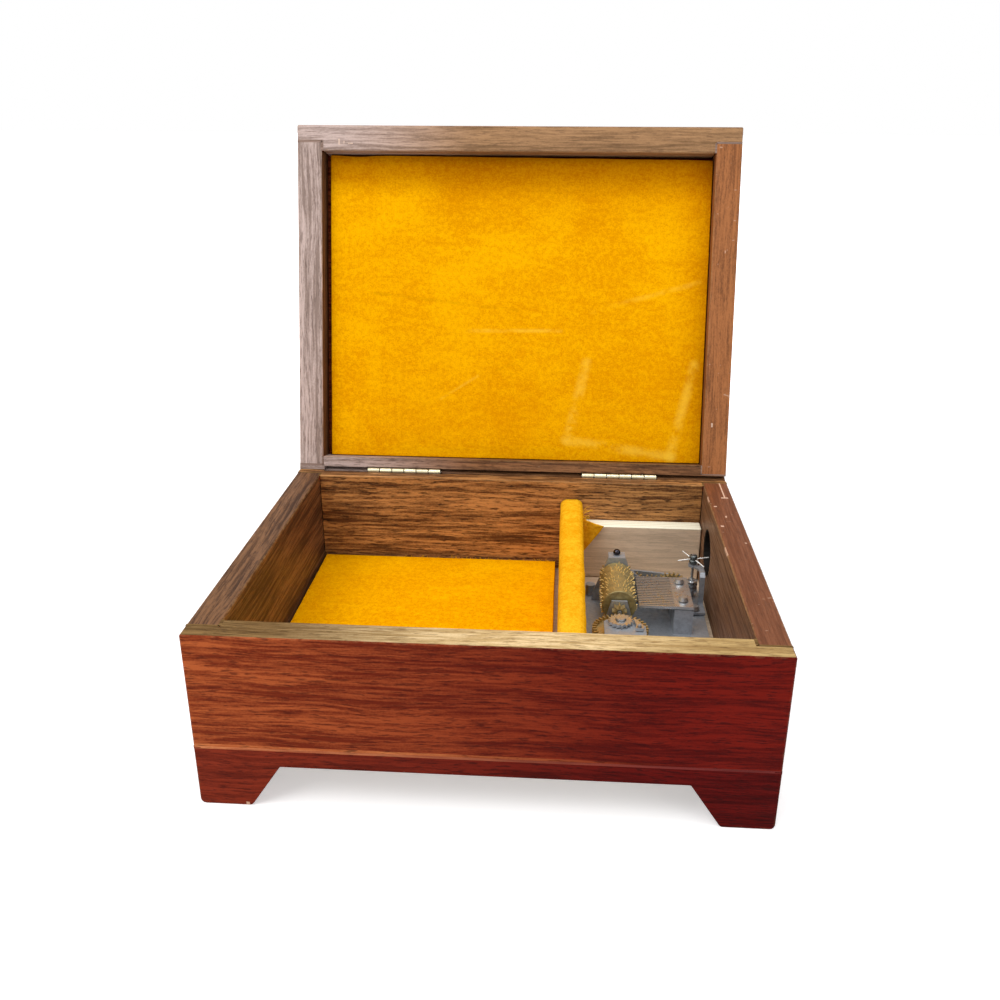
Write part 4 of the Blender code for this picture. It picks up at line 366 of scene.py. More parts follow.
def wood_material(name, board, look, along="X", on_lid=False, seed=0.0, wear=0.3, scuff=0.0, joined=(),
                  stains_and_painted_light=(), marks=()):
    """Oiled wood for one board: stained faces and painted light by place, wear along its free edges, and its
    own marks.
    """
    mat, tree, shader, where = new_material(name)
    if on_lid:
        where = closed_lid_vector(tree, where)
    turned = add_node(tree, "ShaderNodeMapping", Vector=where, Rotation=GRAIN_TURN[along],
                      Location=(seed * 0.37, seed * 0.11, seed * 0.23)).outputs[0]
    tones = {key: look[key] for key in ("light", "dark", "pore")}
    # Some of these layers are real stain, others painted sheen, shade and highlight laid in by place
    for conditions, other in stains_and_painted_light:
        share = place_share(tree, where, conditions)
        tones = {key: blend(tree, share, tones[key], other[key]) for key in tones}
    grain = group_node(tree, "grain", Vector=turned, Light=tones["light"], Dark=tones["dark"],
                       Pore=tones["pore"], Bands=look["bands"], Pores=look["pores"], Speckle=look["speckle"])
    color = grain.outputs["Color"]
    low, high = board_extent(board, on_lid)
    for side in joined:
        axis = "xyz".index(side[1])
        if side[0] == "-":
            low[axis] -= OUT_OF_REACH
        else:
            high[axis] += OUT_OF_REACH
    worn = group_node(tree, "wear", Vector=where, Low=low, High=high, Width=look["wear_width"], Amount=wear)
    color = blend(tree, worn.outputs["Mask"], color, look["worn"])
    if scuff:
        specks = group_node(tree, "scuffs", Vector=where, Amount=scuff)
        color = blend(tree, specks.outputs["Mask"], color, (0.6, 0.4, 0.28))
    # Marks: real nicks and scratches, and painted shade and highlight where a caller gives them
    for mark_low, mark_high, tone, soft, uneven, share in marks:
        mark = group_node(tree, "mark", Vector=where, Low=mark_low, High=mark_high, Soft=soft, Uneven=uneven,
                          Share=share)
        color = blend(tree, mark.outputs["Mask"], color, tone)
    tree.links.new(color, shader.inputs["Base Color"])
    gloss = ramp(tree, grain.outputs["Roughness"], 0.3, 0.7, *look["roughness"])
    tree.links.new(gloss, shader.inputs["Roughness"])
    set_inputs(shader, Specular_IOR_Level=look["specular"], Coat_Weight=look["coat"], Coat_Roughness=0.3)
    bump(tree, shader, grain.outputs["Height"], 0.05 * MM, 0.6)
    return mat


def velvet_material(name, lit, deep, patches, on_lid=False, painted_shades=(), marks=()):
    """Velvet with a lying nap, painted shade over broad places and the soft marks pressed into it."""
    mat, tree, shader, where = new_material(name)
    if on_lid:
        where = closed_lid_vector(tree, where)
    nap = group_node(tree, "nap", Vector=where, Lit=lit, Deep=deep, Patches=patches)
    color = nap.outputs["Color"]
    # Painted shade: each place darkens the nap's colour by multiplying it with its tone
    for low, high, tone, soft, share in painted_shades:
        painted_shade = group_node(tree, "mark", Vector=where, Low=low, High=high, Soft=soft, Uneven=4 * MM,
                           Share=share)
        color = blend(tree, painted_shade.outputs["Mask"], color, tone, "MULTIPLY")
    for start, end, width, tone, share in marks:
        line = group_node(tree, "pressed", Vector=where, Start=start, End=end, Width=width, Share=share)
        color = blend(tree, line.outputs["Mask"], color, tone)
    tree.links.new(color, shader.inputs["Base Color"])
    set_inputs(shader, Roughness=0.95, Sheen_Weight=0.1, Sheen_Roughness=0.4,
               Sheen_Tint=(1.0, 0.6, 0.0, 1.0), Specular_IOR_Level=0.0)
    bump(tree, shader, nap.outputs["Height"], 0.15 * MM, 0.8)
    return mat


def metal_material(name, clean, dull, film=0.5, roughness=(0.22, 0.5), metallic=1.0):
    """Metal under a dull film."""
    mat, tree, shader, where = new_material(name)
    skin = group_node(tree, "metal", Vector=where, Clean=clean, Dull=dull, Film=film)
    tree.links.new(skin.outputs["Color"], shader.inputs["Base Color"])
    tree.links.new(ramp(tree, skin.outputs["Roughness"], 0.0, 1.0, *roughness), shader.inputs["Roughness"])
    set_inputs(shader, Metallic=metallic)
    bump(tree, shader, skin.outputs["Height"], 0.01 * MM, 0.5)
    return mat


# Mesh building

def finish_piece(name, bm, materials, smooth=True, clean=True):
    """Object of a finished bmesh, standing at the origin."""
    if clean:
        bmesh.ops.remove_doubles(bm, verts=bm.verts, dist=MERGE)
        bmesh.ops.recalc_face_normals(bm, faces=bm.faces[:])
    mesh = bpy.data.meshes.new(name)
    bm.to_mesh(mesh)
    bm.free()
    for mat in materials:
        mesh.materials.append(mat)
    if smooth:
        mesh.shade_smooth()
        mesh.set_sharp_from_angle(angle=SMOOTH_ANGLE)
    obj = bpy.data.objects.new(name, mesh)
    bpy.context.scene.collection.objects.link(obj)
    return obj


def tube(bm, start, end, radius, segments=12, end_radius=None, material_index=0):
    """Closed round bar between two points."""
    start, end = Vector(start), Vector(end)
    along = end - start
    turn = Vector((0, 0, 1)).rotation_difference(along).to_matrix().to_4x4()
    place = Matrix.Translation((start + end) / 2) @ turn
    made = bmesh.ops.create_cone(bm, cap_ends=True, segments=segments, radius1=radius,
                                 radius2=radius if end_radius is None else end_radius,
                                 depth=along.length, matrix=place)
    for face in {f for v in made["verts"] for f in v.link_faces}:
        face.material_index = material_index


def lathe(bm, profile, place, segments=32):
    """Solid of revolution about Z from (radius, height) points, put at a place."""
    old = set(bm.verts)
    verts = [bm.verts.new((radius, 0.0, height)) for radius, height in profile]
    edges = [bm.edges.new(pair) for pair in zip(verts, verts[1:])]
    bmesh.ops.spin(bm, geom=[*verts, *edges], cent=(0, 0, 0), axis=(0, 0, 1), angle=2 * math.pi,
                   steps=segments, use_merge=True)
    made = [v for v in bm.verts if v not in old]
    bmesh.ops.transform(bm, matrix=place, verts=made)


def cushion_mesh(low, high, cuts, crown, draw, side):
    """Padded panel on a board: crowned face on one side, close rows of points at its rim."""
    side_rows = 3
    rim = 0.7 * MM
    face_level = 0.9
    rim_share = 0.99
    bm = bmesh.new()
    size = [b - a for a, b in zip(low, high)]
    centre = [(a + b) / 2 for a, b in zip(low, high)]
    bmesh.ops.create_cube(bm, size=1.0, matrix=Matrix.Translation(centre) @ Matrix.Diagonal((*size, 1.0)))
    across = [e for e in bm.edges if abs(e.verts[0].co.z - e.verts[1].co.z) < LEVEL]
    bmesh.ops.subdivide_edges(bm, edges=across, cuts=cuts, use_grid_fill=True)
    upright = [e for e in bm.edges if abs(e.verts[0].co.z - e.verts[1].co.z) > LEVEL]
    bmesh.ops.subdivide_edges(bm, edges=upright, cuts=side_rows, use_grid_fill=True)
    step = 2 / (cuts + 1)
    for vert in bm.verts:
        share = [(vert.co[i] - centre[i]) / (size[i] / 2) for i in range(3)]
        for i in range(2):
            if 1 - 1.5 * step < abs(share[i]) < 1 - 0.5 * step:
                share[i] = math.copysign(1 - rim / (size[i] / 2), share[i])
                vert.co[i] = centre[i] + share[i] * size[i] / 2
        level = share[2] * side
        if 0.4 < level < 0.6:
            vert.co.z = centre[2] + side * (size[2] / 2 - rim)
        edge = max(abs(share[0]), abs(share[1]))
        if level > face_level:
            lift = crown * ((1 - share[0] ** 4) * (1 - share[1] ** 4) - 1.0)
            vert.co.z += side * lift
        if edge > rim_share:
            bulge = draw * (0.5 + 0.5 * noise.noise(vert.co * 110)) * (level > -face_level)
            vert.co.x -= bulge * (abs(share[0]) > rim_share) * math.copysign(1, share[0])
            vert.co.y -= bulge * (abs(share[1]) > rim_share) * math.copysign(1, share[1])
    return bm


def swell(obj, held, cap):
    """Let cloth with air under it settle, then keep what it moved, up to the cap."""
    rest = [v.co.copy() for v in obj.data.vertices]
    pins = obj.vertex_groups.new(name="Held")
    pins.add(held, 1.0, "REPLACE")
    cloth = obj.modifiers.new("Cloth", "CLOTH")
    cloth.settings.use_pressure = True
    cloth.settings.uniform_pressure_force = CLOTH_PRESSURE
    cloth.settings.effector_weights.gravity = 0.0
    cloth.settings.vertex_group_mass = "Held"
    cloth.settings.quality = CLOTH_QUALITY
    scene = bpy.context.scene
    for number in range(1, CLOTH_FRAMES + 1):
        scene.frame_set(number)
    moved = obj.evaluated_get(bpy.context.evaluated_depsgraph_get()).to_mesh()
    settled = [v.co.copy() for v in moved.vertices]
    obj.evaluated_get(bpy.context.evaluated_depsgraph_get()).to_mesh_clear()
    obj.modifiers.remove(cloth)
    obj.vertex_groups.clear()
    scene.frame_set(1)
    for vert, before, after in zip(obj.data.vertices, rest, settled):
        shift = after - before
        if shift.length > cap:
            shift.length = cap
        vert.co = before + shift


def add_subdivision(obj, levels):
    """Subdivision with the same level in view and render."""
    mod = obj.modifiers.new("Subdivision", "SUBSURF")
    mod.levels = levels
    mod.render_levels = levels


def seam_bar(bm, start, end, outward, gap, chamfer, material_index=0):
    """Wedge of glue and filler that closes the groove between two boards, flush outside."""
    start, end, outward = Vector(start), Vector(end), Vector(outward)
    along = end - start
    across = along.normalized().cross(outward)
    sunk = 0.015 * MM
    depth = 2.0 * MM
    half = gap / 2
    shape = [(-half - chamfer, -sunk), (half + chamfer, -sunk), (half, -chamfer - sunk), (half, -depth),
             (-half, -depth), (-half, -chamfer - sunk)]
    verts = [bm.verts.new(start + across * u + outward * v) for u, v in shape]
    face = bm.faces.new(verts)
    grown = bmesh.ops.extrude_face_region(bm, geom=[face])["geom"]
    far = [g for g in grown if isinstance(g, bmesh.types.BMVert)]
    bmesh.ops.translate(bm, verts=far, vec=along)
    for made in {f for v in (*verts, *far) for f in v.link_faces}:
        made.material_index = material_index


# Settings

class BoxSettings(bpy.types.PropertyGroup):
    """Sizes and colours of the walnut case and lid."""

    wood_light: FloatVectorProperty(
        name="Walnut light", description="Early wood of the case", subtype="COLOR",
        default=(0.54, 0.255, 0.082), min=0.0, max=1.0)
    wood_dark: FloatVectorProperty(
        name="Walnut dark", description="Late wood of the case", subtype="COLOR",
        default=(0.11, 0.04, 0.011), min=0.0, max=1.0)
    front_light: FloatVectorProperty(
        name="Front light", description="Stained front, light streaks", subtype="COLOR",
        default=(0.44, 0.1, 0.026), min=0.0, max=1.0)
    front_dark: FloatVectorProperty(
        name="Front dark", description="Stained front, dark streaks", subtype="COLOR",
        default=(0.17, 0.022, 0.005), min=0.0, max=1.0)
    worn_edge: FloatVectorProperty(
        name="Worn edge", description="Bare wood on worn edges", subtype="COLOR",
        default=(0.42, 0.27, 0.13), min=0.0, max=1.0)
    wear_width: FloatProperty(
        name="Wear width", description="How far wear reaches from an edge", subtype="DISTANCE",
        unit="LENGTH", default=0.6 * MM, min=0.0, max=5 * MM)


class LiningSettings(bpy.types.PropertyGroup):
    """Velvet of the lid and the floor."""

    velvet_lit: FloatVectorProperty(
        name="Velvet lit", description="Nap that lies towards the light", subtype="COLOR",
        default=(0.93, 0.455, 0.001), min=0.0, max=1.0)
    velvet_deep: FloatVectorProperty(
        name="Velvet deep", description="Nap that lies away from the light", subtype="COLOR",
        default=(0.74, 0.285, 0.0), min=0.0, max=1.0)
    crown: FloatProperty(
        name="Crown", description="Rise of the padded panels", subtype="DISTANCE", unit="LENGTH",
        default=0.3 * MM, min=0.0, max=3 * MM)
    swelling: FloatProperty(
        name="Swelling", description="How far the padding pushes the velvet out", subtype="DISTANCE",
        unit="LENGTH", default=0.25 * MM, min=0.0, max=3 * MM)
    cuts: IntProperty(
        name="Cuts", description="Divisions of a padded panel", default=36, min=6, max=80)


class MovementSettings(bpy.types.PropertyGroup):
    """Music movement."""

    tracks: IntProperty(name="Tracks", description="Pin tracks on the cylinder", default=18, min=6, max=36)
    pins: IntProperty(name="Pins", description="Melody pins", default=260, min=20, max=600)
    pin_radius: FloatProperty(
        name="Pin radius", description="Radius of a melody pin", subtype="DISTANCE", unit="LENGTH",
        default=0.17 * MM, min=0.02 * MM, max=1 * MM)
    fly_wire: FloatProperty(
        name="Fly wire", description="Radius of the governor's wires", subtype="DISTANCE",
        unit="LENGTH", default=0.24 * MM, min=0.05 * MM, max=1 * MM)


class StageSettings(bpy.types.PropertyGroup):
    """Camera, lamps and floor."""

    camera_right: FloatProperty(
        name="Camera right", description="From the middle of the box", subtype="DISTANCE",
        unit="LENGTH", default=19.453 * MM)
    camera_front: FloatProperty(
        name="Camera distance", description="In front of the front wall", subtype="DISTANCE",
        unit="LENGTH", default=226.01 * MM)
    camera_height: FloatProperty(
        name="Camera height", description="Over the table", subtype="DISTANCE", unit="LENGTH",
        default=190.279 * MM)
    camera_pitch: FloatProperty(
        name="Camera pitch", description="Downwards", subtype="ANGLE", unit="ROTATION",
        default=math.radians(22.155))
    camera_yaw: FloatProperty(
        name="Camera yaw", description="To the right", subtype="ANGLE", unit="ROTATION",
        default=math.radians(-3.754))
    camera_roll: FloatProperty(
        name="Camera roll", description="About the view line", subtype="ANGLE", unit="ROTATION",
        default=math.radians(0.186))
    lens: FloatProperty(
        name="Lens", description="Focal length in millimetres on a 36 mm sensor", default=35.36)


# Wood

def wood_looks(case):
    """The tones of wood that the box shows."""
    base = dict(pore=(0.05, 0.018, 0.006), pores=0.7, bands=0.5, speckle=0.25, worn=tuple(case.worn_edge),
                wear_width=case.wear_width, roughness=(0.42, 0.6), coat=0.0, specular=0.22)
    looks = {"walnut": dict(base, light=tuple(case.wood_light), dark=tuple(case.wood_dark))}
    looks["walnut"].update(pores=0.85, pore=(0.03, 0.011, 0.004))
    # Painted shade: darker walnut for faces that lie in shade, the inner left wall and the lid's left rail
    # inner face
    looks["walnut_in_shade"] = dict(base, light=(0.2, 0.09, 0.035), dark=(0.05, 0.02, 0.008))
    looks["walnut_soft"] = dict(base, light=(0.25, 0.125, 0.06), dark=(0.12, 0.056, 0.027), pores=0.35)
    looks["rim_right"] = dict(base, light=(0.215, 0.07, 0.025), dark=(0.14, 0.043, 0.015), pores=0.2,
                              speckle=0.9, bands=0.2)
    # Painted highlight: bright cream band along the front wall's rim
    looks["rim_gold"] = dict(base, light=(0.86, 0.66, 0.38), dark=(0.5, 0.34, 0.15), pore=(0.24, 0.14, 0.05))
    looks["rim_tan"] = dict(base, light=(0.5, 0.34, 0.14), dark=(0.32, 0.2, 0.075), pore=(0.15, 0.08, 0.03))
    looks["rim_brown"] = dict(base, light=(0.24, 0.14, 0.05), dark=(0.12, 0.065, 0.022),
                              pore=(0.06, 0.03, 0.01))
    looks["front_left"] = dict(base, light=tuple(case.front_light), dark=tuple(case.front_dark),
                               pore=(0.07, 0.008, 0.002), specular=0.06)
    looks["front_right"] = dict(base, light=(0.155, 0.006, 0.002), dark=(0.075, 0.002, 0.001),
                                pore=(0.035, 0.001, 0.001), specular=0.06)
    looks["base_left"] = dict(base, light=(0.23, 0.028, 0.01), dark=(0.12, 0.013, 0.005),
                              pore=(0.055, 0.006, 0.003), specular=0.05)
    looks["base_right"] = dict(base, light=(0.105, 0.003, 0.002), dark=(0.05, 0.001, 0.001),
                               pore=(0.02, 0.001, 0.001), specular=0.05)
    looks["seam_left"] = dict(base, light=(0.6, 0.2, 0.065), dark=(0.42, 0.1, 0.03), pores=0.3, bands=0.3)
    looks["seam_right"] = dict(base, light=(0.16, 0.008, 0.004), dark=(0.1, 0.004, 0.002), pores=0.3,
                               bands=0.3)
    looks["lid"] = dict(base, light=(0.39, 0.215, 0.1), dark=(0.2, 0.105, 0.045), pores=0.4,
                        pore=(0.08, 0.04, 0.02))
    looks["lid_low"] = dict(base, light=(0.3, 0.135, 0.055), dark=(0.1, 0.042, 0.016))
    looks["lid_warm"] = dict(base, light=(0.38, 0.14, 0.045), dark=(0.2, 0.07, 0.022), bands=0.4, pores=0.35,
                             speckle=0.5)
    # Painted reflection: lavender-grey sheen of the bright surround laid into the lid rail's colour
    looks["lid_painted_sheen"] = dict(base, light=(0.56, 0.43, 0.39), dark=(0.26, 0.185, 0.155), pores=0.6,
                             pore=(0.13, 0.085, 0.07))
    looks["lid_filler"] = dict(base, light=(0.3, 0.2, 0.16), dark=(0.2, 0.13, 0.1), pores=0.3)
    looks["ply"] = dict(base, light=(0.74, 0.58, 0.42), dark=(0.58, 0.45, 0.32), pore=(0.4, 0.3, 0.2),
                        bands=0.2, pores=0.3, worn=(0.92, 0.86, 0.7), roughness=(0.6, 0.8))
    return looks


def dress(name, mat):
    """Give a CAD node its material."""
    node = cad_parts[name]
    node.data.materials.clear()
    node.data.materials.append(mat)


def rim_nicks_and_pocket_shade():
    """Nicks on the right rim, and painted shade in the pocket that clears the governor's fly."""
    x0 = RIGHT_LOW[0]
    top = RIGHT_HIGH[2]
    rear = REAR_HIGH[1]
    pale = (0.75, 0.5, 0.36)
    hub_y = (WORM_LOW[1] + WORM_HIGH[1]) / 2
    pocket_half = 14 * MM
    pocket_painted_shade = (0.012, 0.009, 0.007)

    def nick(x, y, wide, deep, share=0.85):
        return ((x0 + x * MM, rear - (y + deep) * MM, top - 1 * MM),
                (x0 + (x + wide) * MM, rear - y * MM, top + 1 * MM), pale, 0.12 * MM, 0.3 * MM, share)
    return [nick(5.2, 5.5, 2.2, 0.7), nick(6.1, 6.0, 0.35, 14.5), nick(5.0, 20.5, 2.4, 0.8),
            nick(1.3, 29.0, 0.9, 0.7), nick(1.3, 46.5, 0.9, 0.9), nick(4.0, 38.0, 0.4, 1.2),
            nick(0.02, 64.0, 0.3, 6.0, share=0.6), nick(0.05, 20.0, 0.25, 5.0, share=0.5),
            nick(7.2, 60.0, 0.5, 0.8, share=0.6),
            # Painted shade: near-black colour laid inside the pocket of the right wall
            ((x0 + 0.12 * MM, hub_y - pocket_half, RIGHT_LOW[2] + 1 * MM),
             (x0 + 4.7 * MM, hub_y + pocket_half, top - 8 * MM), pocket_painted_shade, 0.1 * MM, 0.0, 1.0)]


class JEWELRYBOX_OT_case_wood(bpy.types.Operator):
    """Finish the case boards in walnut"""

    bl_idname = "jewelry_box.case_wood"
    bl_label = "Case wood"

    def execute(self, context):
        looks = wood_looks(context.scene.jewelry_box_case)
        top = FRONT_HIGH[2]
        rim = ("z", top - 0.05 * MM, top - 0.02 * MM)
        inside = ("y", FRONT_HIGH[1] - STAIN_DEPTH, FRONT_HIGH[1] - STAIN_DEPTH / 2)
        dress("front_wall", wood_material(
            "Front walnut", "front_wall", looks["front_left"], wear=0.12, seed=1.0, joined=("-z",),
            stains_and_painted_light=[((FRONT_FADE,), looks["front_right"]),
                    ((("z", FRONT_LOW[2] + 1.25 * MM, FRONT_LOW[2] + 1.05 * MM), ("x", 60 * MM, -80 * MM)),
                     looks["seam_left"]),
                    ((inside,), looks["walnut"]), ((rim,), looks["rim_brown"]),
                    # Painted highlight over the middle of the front rim, on its brown tone
                    ((rim, ("x", -65 * MM, 5 * MM)), looks["rim_gold"]),
                    ((rim, ("x", 15 * MM, 70 * MM)), looks["rim_tan"])]))
        bare = (0.7, 0.45, 0.3)
        nick = ((BASE_LOW[0] + 13.6 * MM, BASE_LOW[1] - 1 * MM, 0.3 * MM),
                (BASE_LOW[0] + 14.4 * MM, BASE_LOW[1] + 2 * MM, 1.1 * MM), bare, 0.2 * MM, 0.4 * MM, 0.8)
        dress("front_base_rail", wood_material(
            "Front base walnut", "front_base_rail", looks["base_left"], wear=0.12, seed=2.0, joined=("+z",),
            stains_and_painted_light=[((FRONT_FADE,), looks["base_right"])], marks=[nick]))
        outer = {"rear": ("y", REAR_HIGH[1] - STAIN_DEPTH, REAR_HIGH[1] - STAIN_DEPTH / 2),
                 "left": ("x", FRONT_LOW[0] + STAIN_DEPTH, FRONT_LOW[0] + STAIN_DEPTH / 2),
                 "right": ("x", FRONT_HIGH[0] - STAIN_DEPTH, FRONT_HIGH[0] - STAIN_DEPTH / 2)}
        # Inner faces; the left one gets walnut in painted shade
        inner = {"rear": "walnut", "left": "walnut_in_shade", "right": "walnut_soft"}
        for seed, (side, face) in enumerate(outer.items()):
            along = "X" if side == "rear" else "Y"
            ends = () if side == "rear" else ("-y", "+y")
            is_right = side == "right"
            stains_and_painted_light = [((face,), looks["front_left"])]
            if side == "rear":
                stains_and_painted_light.append(((face, FRONT_FADE), looks["front_right"]))
                stains_and_painted_light.append(((outer["left"],), looks["front_left"]))
                stains_and_painted_light.append(((outer["right"],), looks["front_right"]))
            if is_right:
                stains_and_painted_light = [((rim,), looks["rim_right"]), ((face,), looks["front_right"])]
            dress(f"{side}_wall", wood_material(
                f"{side.title()} walnut", f"{side}_wall", looks[inner[side]],
                along=along, wear=0.3, seed=3.0 + seed, scuff=0.45 if is_right else 0.1,
                joined=("-z", *ends), stains_and_painted_light=stains_and_painted_light, marks=rim_nicks_and_pocket_shade() if is_right else ()))
            dress(f"{side}_base_rail",
                  wood_material(f"{side.title()} base walnut", f"{side}_base_rail",
                                looks["base_right" if is_right else "base_left"],
                                along=along, wear=0.15, seed=6.0 + seed, joined=("+z", *ends),
                                stains_and_painted_light=[((FRONT_FADE,), looks["base_right"])] if side == "rear" else ()))
        dress("bottom_board", wood_material("Board", "bottom_board", looks["ply"], seed=9.0))
        dress("partition_board", wood_material("Partition board", "partition_board", looks["ply"],
                                               along="Y", seed=10.0))
        low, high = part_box("ledge_board")
        # Pale top of the ply edge, partly its own colour and partly painted highlight
        pale_top_and_highlight = (0.97, 0.93, 0.74)
        glue_line = (0.6, 0.52, 0.36)
        layers = [((low[0] - 1 * MM, low[1] - 0.1 * MM, high[2] - 0.45 * MM),
                   (high[0], high[1], high[2] + 1 * MM), pale_top_and_highlight, 0.1 * MM, 0.15 * MM, 1.0)]
        for step in (1.3, 2.9, 4.4):
            layers.append(((low[0] - 1 * MM, low[1] + step * MM, high[2] - 0.2 * MM),
                           (high[0], low[1] + (step + 0.25) * MM, high[2] + 1 * MM),
                           glue_line, 0.1 * MM, 0.2 * MM, 0.7))
        dress("ledge_board", wood_material("Ledge board", "ledge_board", looks["ply"], seed=11.0, wear=0.5,
                                           marks=layers))
        return {"FINISHED"}


class JEWELRYBOX_OT_case_seams(bpy.types.Operator):
    """Fill the glued joints between the boards of the case and of the lid"""

    bl_idname = "jewelry_box.case_seams"
    bl_label = "Case seams"

    def execute(self, context):
        looks = wood_looks(context.scene.jewelry_box_case)
        chamfer = 0.35 * MM
        left, right = FRONT_LOW[0], FRONT_HIGH[0]
        bm = bmesh.new()
        top = FRONT_HIGH[2]
        middle = (BASE_HIGH[2] + FRONT_LOW[2]) / 2
        gap = FRONT_LOW[2] - BASE_HIGH[2]
        seam_bar(bm, (left, FRONT_LOW[1], middle), (right, FRONT_LOW[1], middle), (0, -1, 0), gap, chamfer, 0)
        seam_bar(bm, (left, REAR_HIGH[1], middle), (right, REAR_HIGH[1], middle), (0, 1, 0), gap, chamfer, 1)
        for side, x in ((-1, left), (1, right)):
            seam_bar(bm, (x, FRONT_LOW[1], middle), (x, REAR_HIGH[1], middle), (side, 0, 0), gap, chamfer, 1)
            for lap, inner in ((RIGHT_LOW[1] - gap / 2, FRONT_HIGH[1]),
                               (RIGHT_HIGH[1] + gap / 2, REAR_LOW[1])):
                seam_bar(bm, (x, lap, 2 * MM), (x, lap, top), (side, 0, 0), gap, chamfer, 1)
                turn = side * (RIGHT_LOW[0] - gap / 2)
                seam_bar(bm, (x, lap, top), (turn, lap, top), (0, 0, 1), gap, chamfer, 1)
                seam_bar(bm, (turn, lap, top), (turn, inner, top), (0, 0, 1), gap, chamfer, 1)
        stripe = wood_material("Seam stripe", "front_wall", looks["seam_left"], wear=0.0, seed=12.0,
                               stains_and_painted_light=[((FRONT_FADE,), looks["seam_right"])])
        filler = wood_material("Seam filler", "front_wall", looks["base_left"], wear=0.0, seed=13.0,
                               stains_and_painted_light=[((FRONT_FADE,), looks["base_right"]),
                                       ((("z", top - 0.2 * MM, top - 0.1 * MM),), looks["rim_brown"])])
        seams = finish_piece("case_seams", bm, [stripe, filler], smooth=False, clean=False)
        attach(seams, "case")
        self.lid_seams(looks, gap, chamfer)
        return {"FINISHED"}

    def lid_seams(self, looks, gap, chamfer):
        """Joints of the lid's frame and of its top, laid out as if it were closed."""
        front_low, front_high = board_extent("lid_front_rail", True)
        rear_low, rear_high = board_extent("lid_rear_rail", True)
        side_low, side_high = board_extent("lid_right_rail", True)
        panel_low, _ = board_extent("lid_top_panel", True)
        left, right = front_low[0], front_high[0]
        bm = bmesh.new()
        middle = (front_high[2] + panel_low[2]) / 2
        seam_bar(bm, (left, front_low[1], middle), (right, front_low[1], middle), (0, -1, 0), gap, chamfer)
        seam_bar(bm, (left, rear_high[1], middle), (right, rear_high[1], middle), (0, 1, 0), gap, chamfer)
        bottom = front_low[2]
        for side, x in ((-1, left), (1, right)):
            seam_bar(bm, (x, front_low[1], middle), (x, rear_high[1], middle), (side, 0, 0), gap, chamfer)
            for lap, inner in ((side_low[1] - gap / 2, front_high[1]), (side_high[1] + gap / 2, rear_low[1])):
                seam_bar(bm, (x, lap, bottom), (x, lap, front_high[2]), (side, 0, 0), gap, chamfer)
                turn = side * (side_low[0] - gap / 2)
                seam_bar(bm, (x, lap, bottom), (turn, lap, bottom), (0, 0, -1), gap, chamfer)
                seam_bar(bm, (turn, lap, bottom), (turn, inner, bottom), (0, 0, -1), gap, chamfer)
        bmesh.ops.transform(bm, matrix=OPENED, verts=bm.verts)
        outside = ("z", bottom + 0.2 * MM, bottom + 0.4 * MM)
        # The same darkening towards the right on the lid's seams, partly painted shade
        fade = ("x", left * 1.15, right)
        filler = wood_material("Lid seam filler", "lid_front_rail", looks["lid_filler"], on_lid=True,
                               wear=0.0, seed=27.0, stains_and_painted_light=[((outside,), looks["base_left"]),
                                                            ((outside, fade), looks["base_right"])])
        seams = finish_piece("lid_seams", bm, [filler], smooth=False, clean=False)
        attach(seams, "lid")


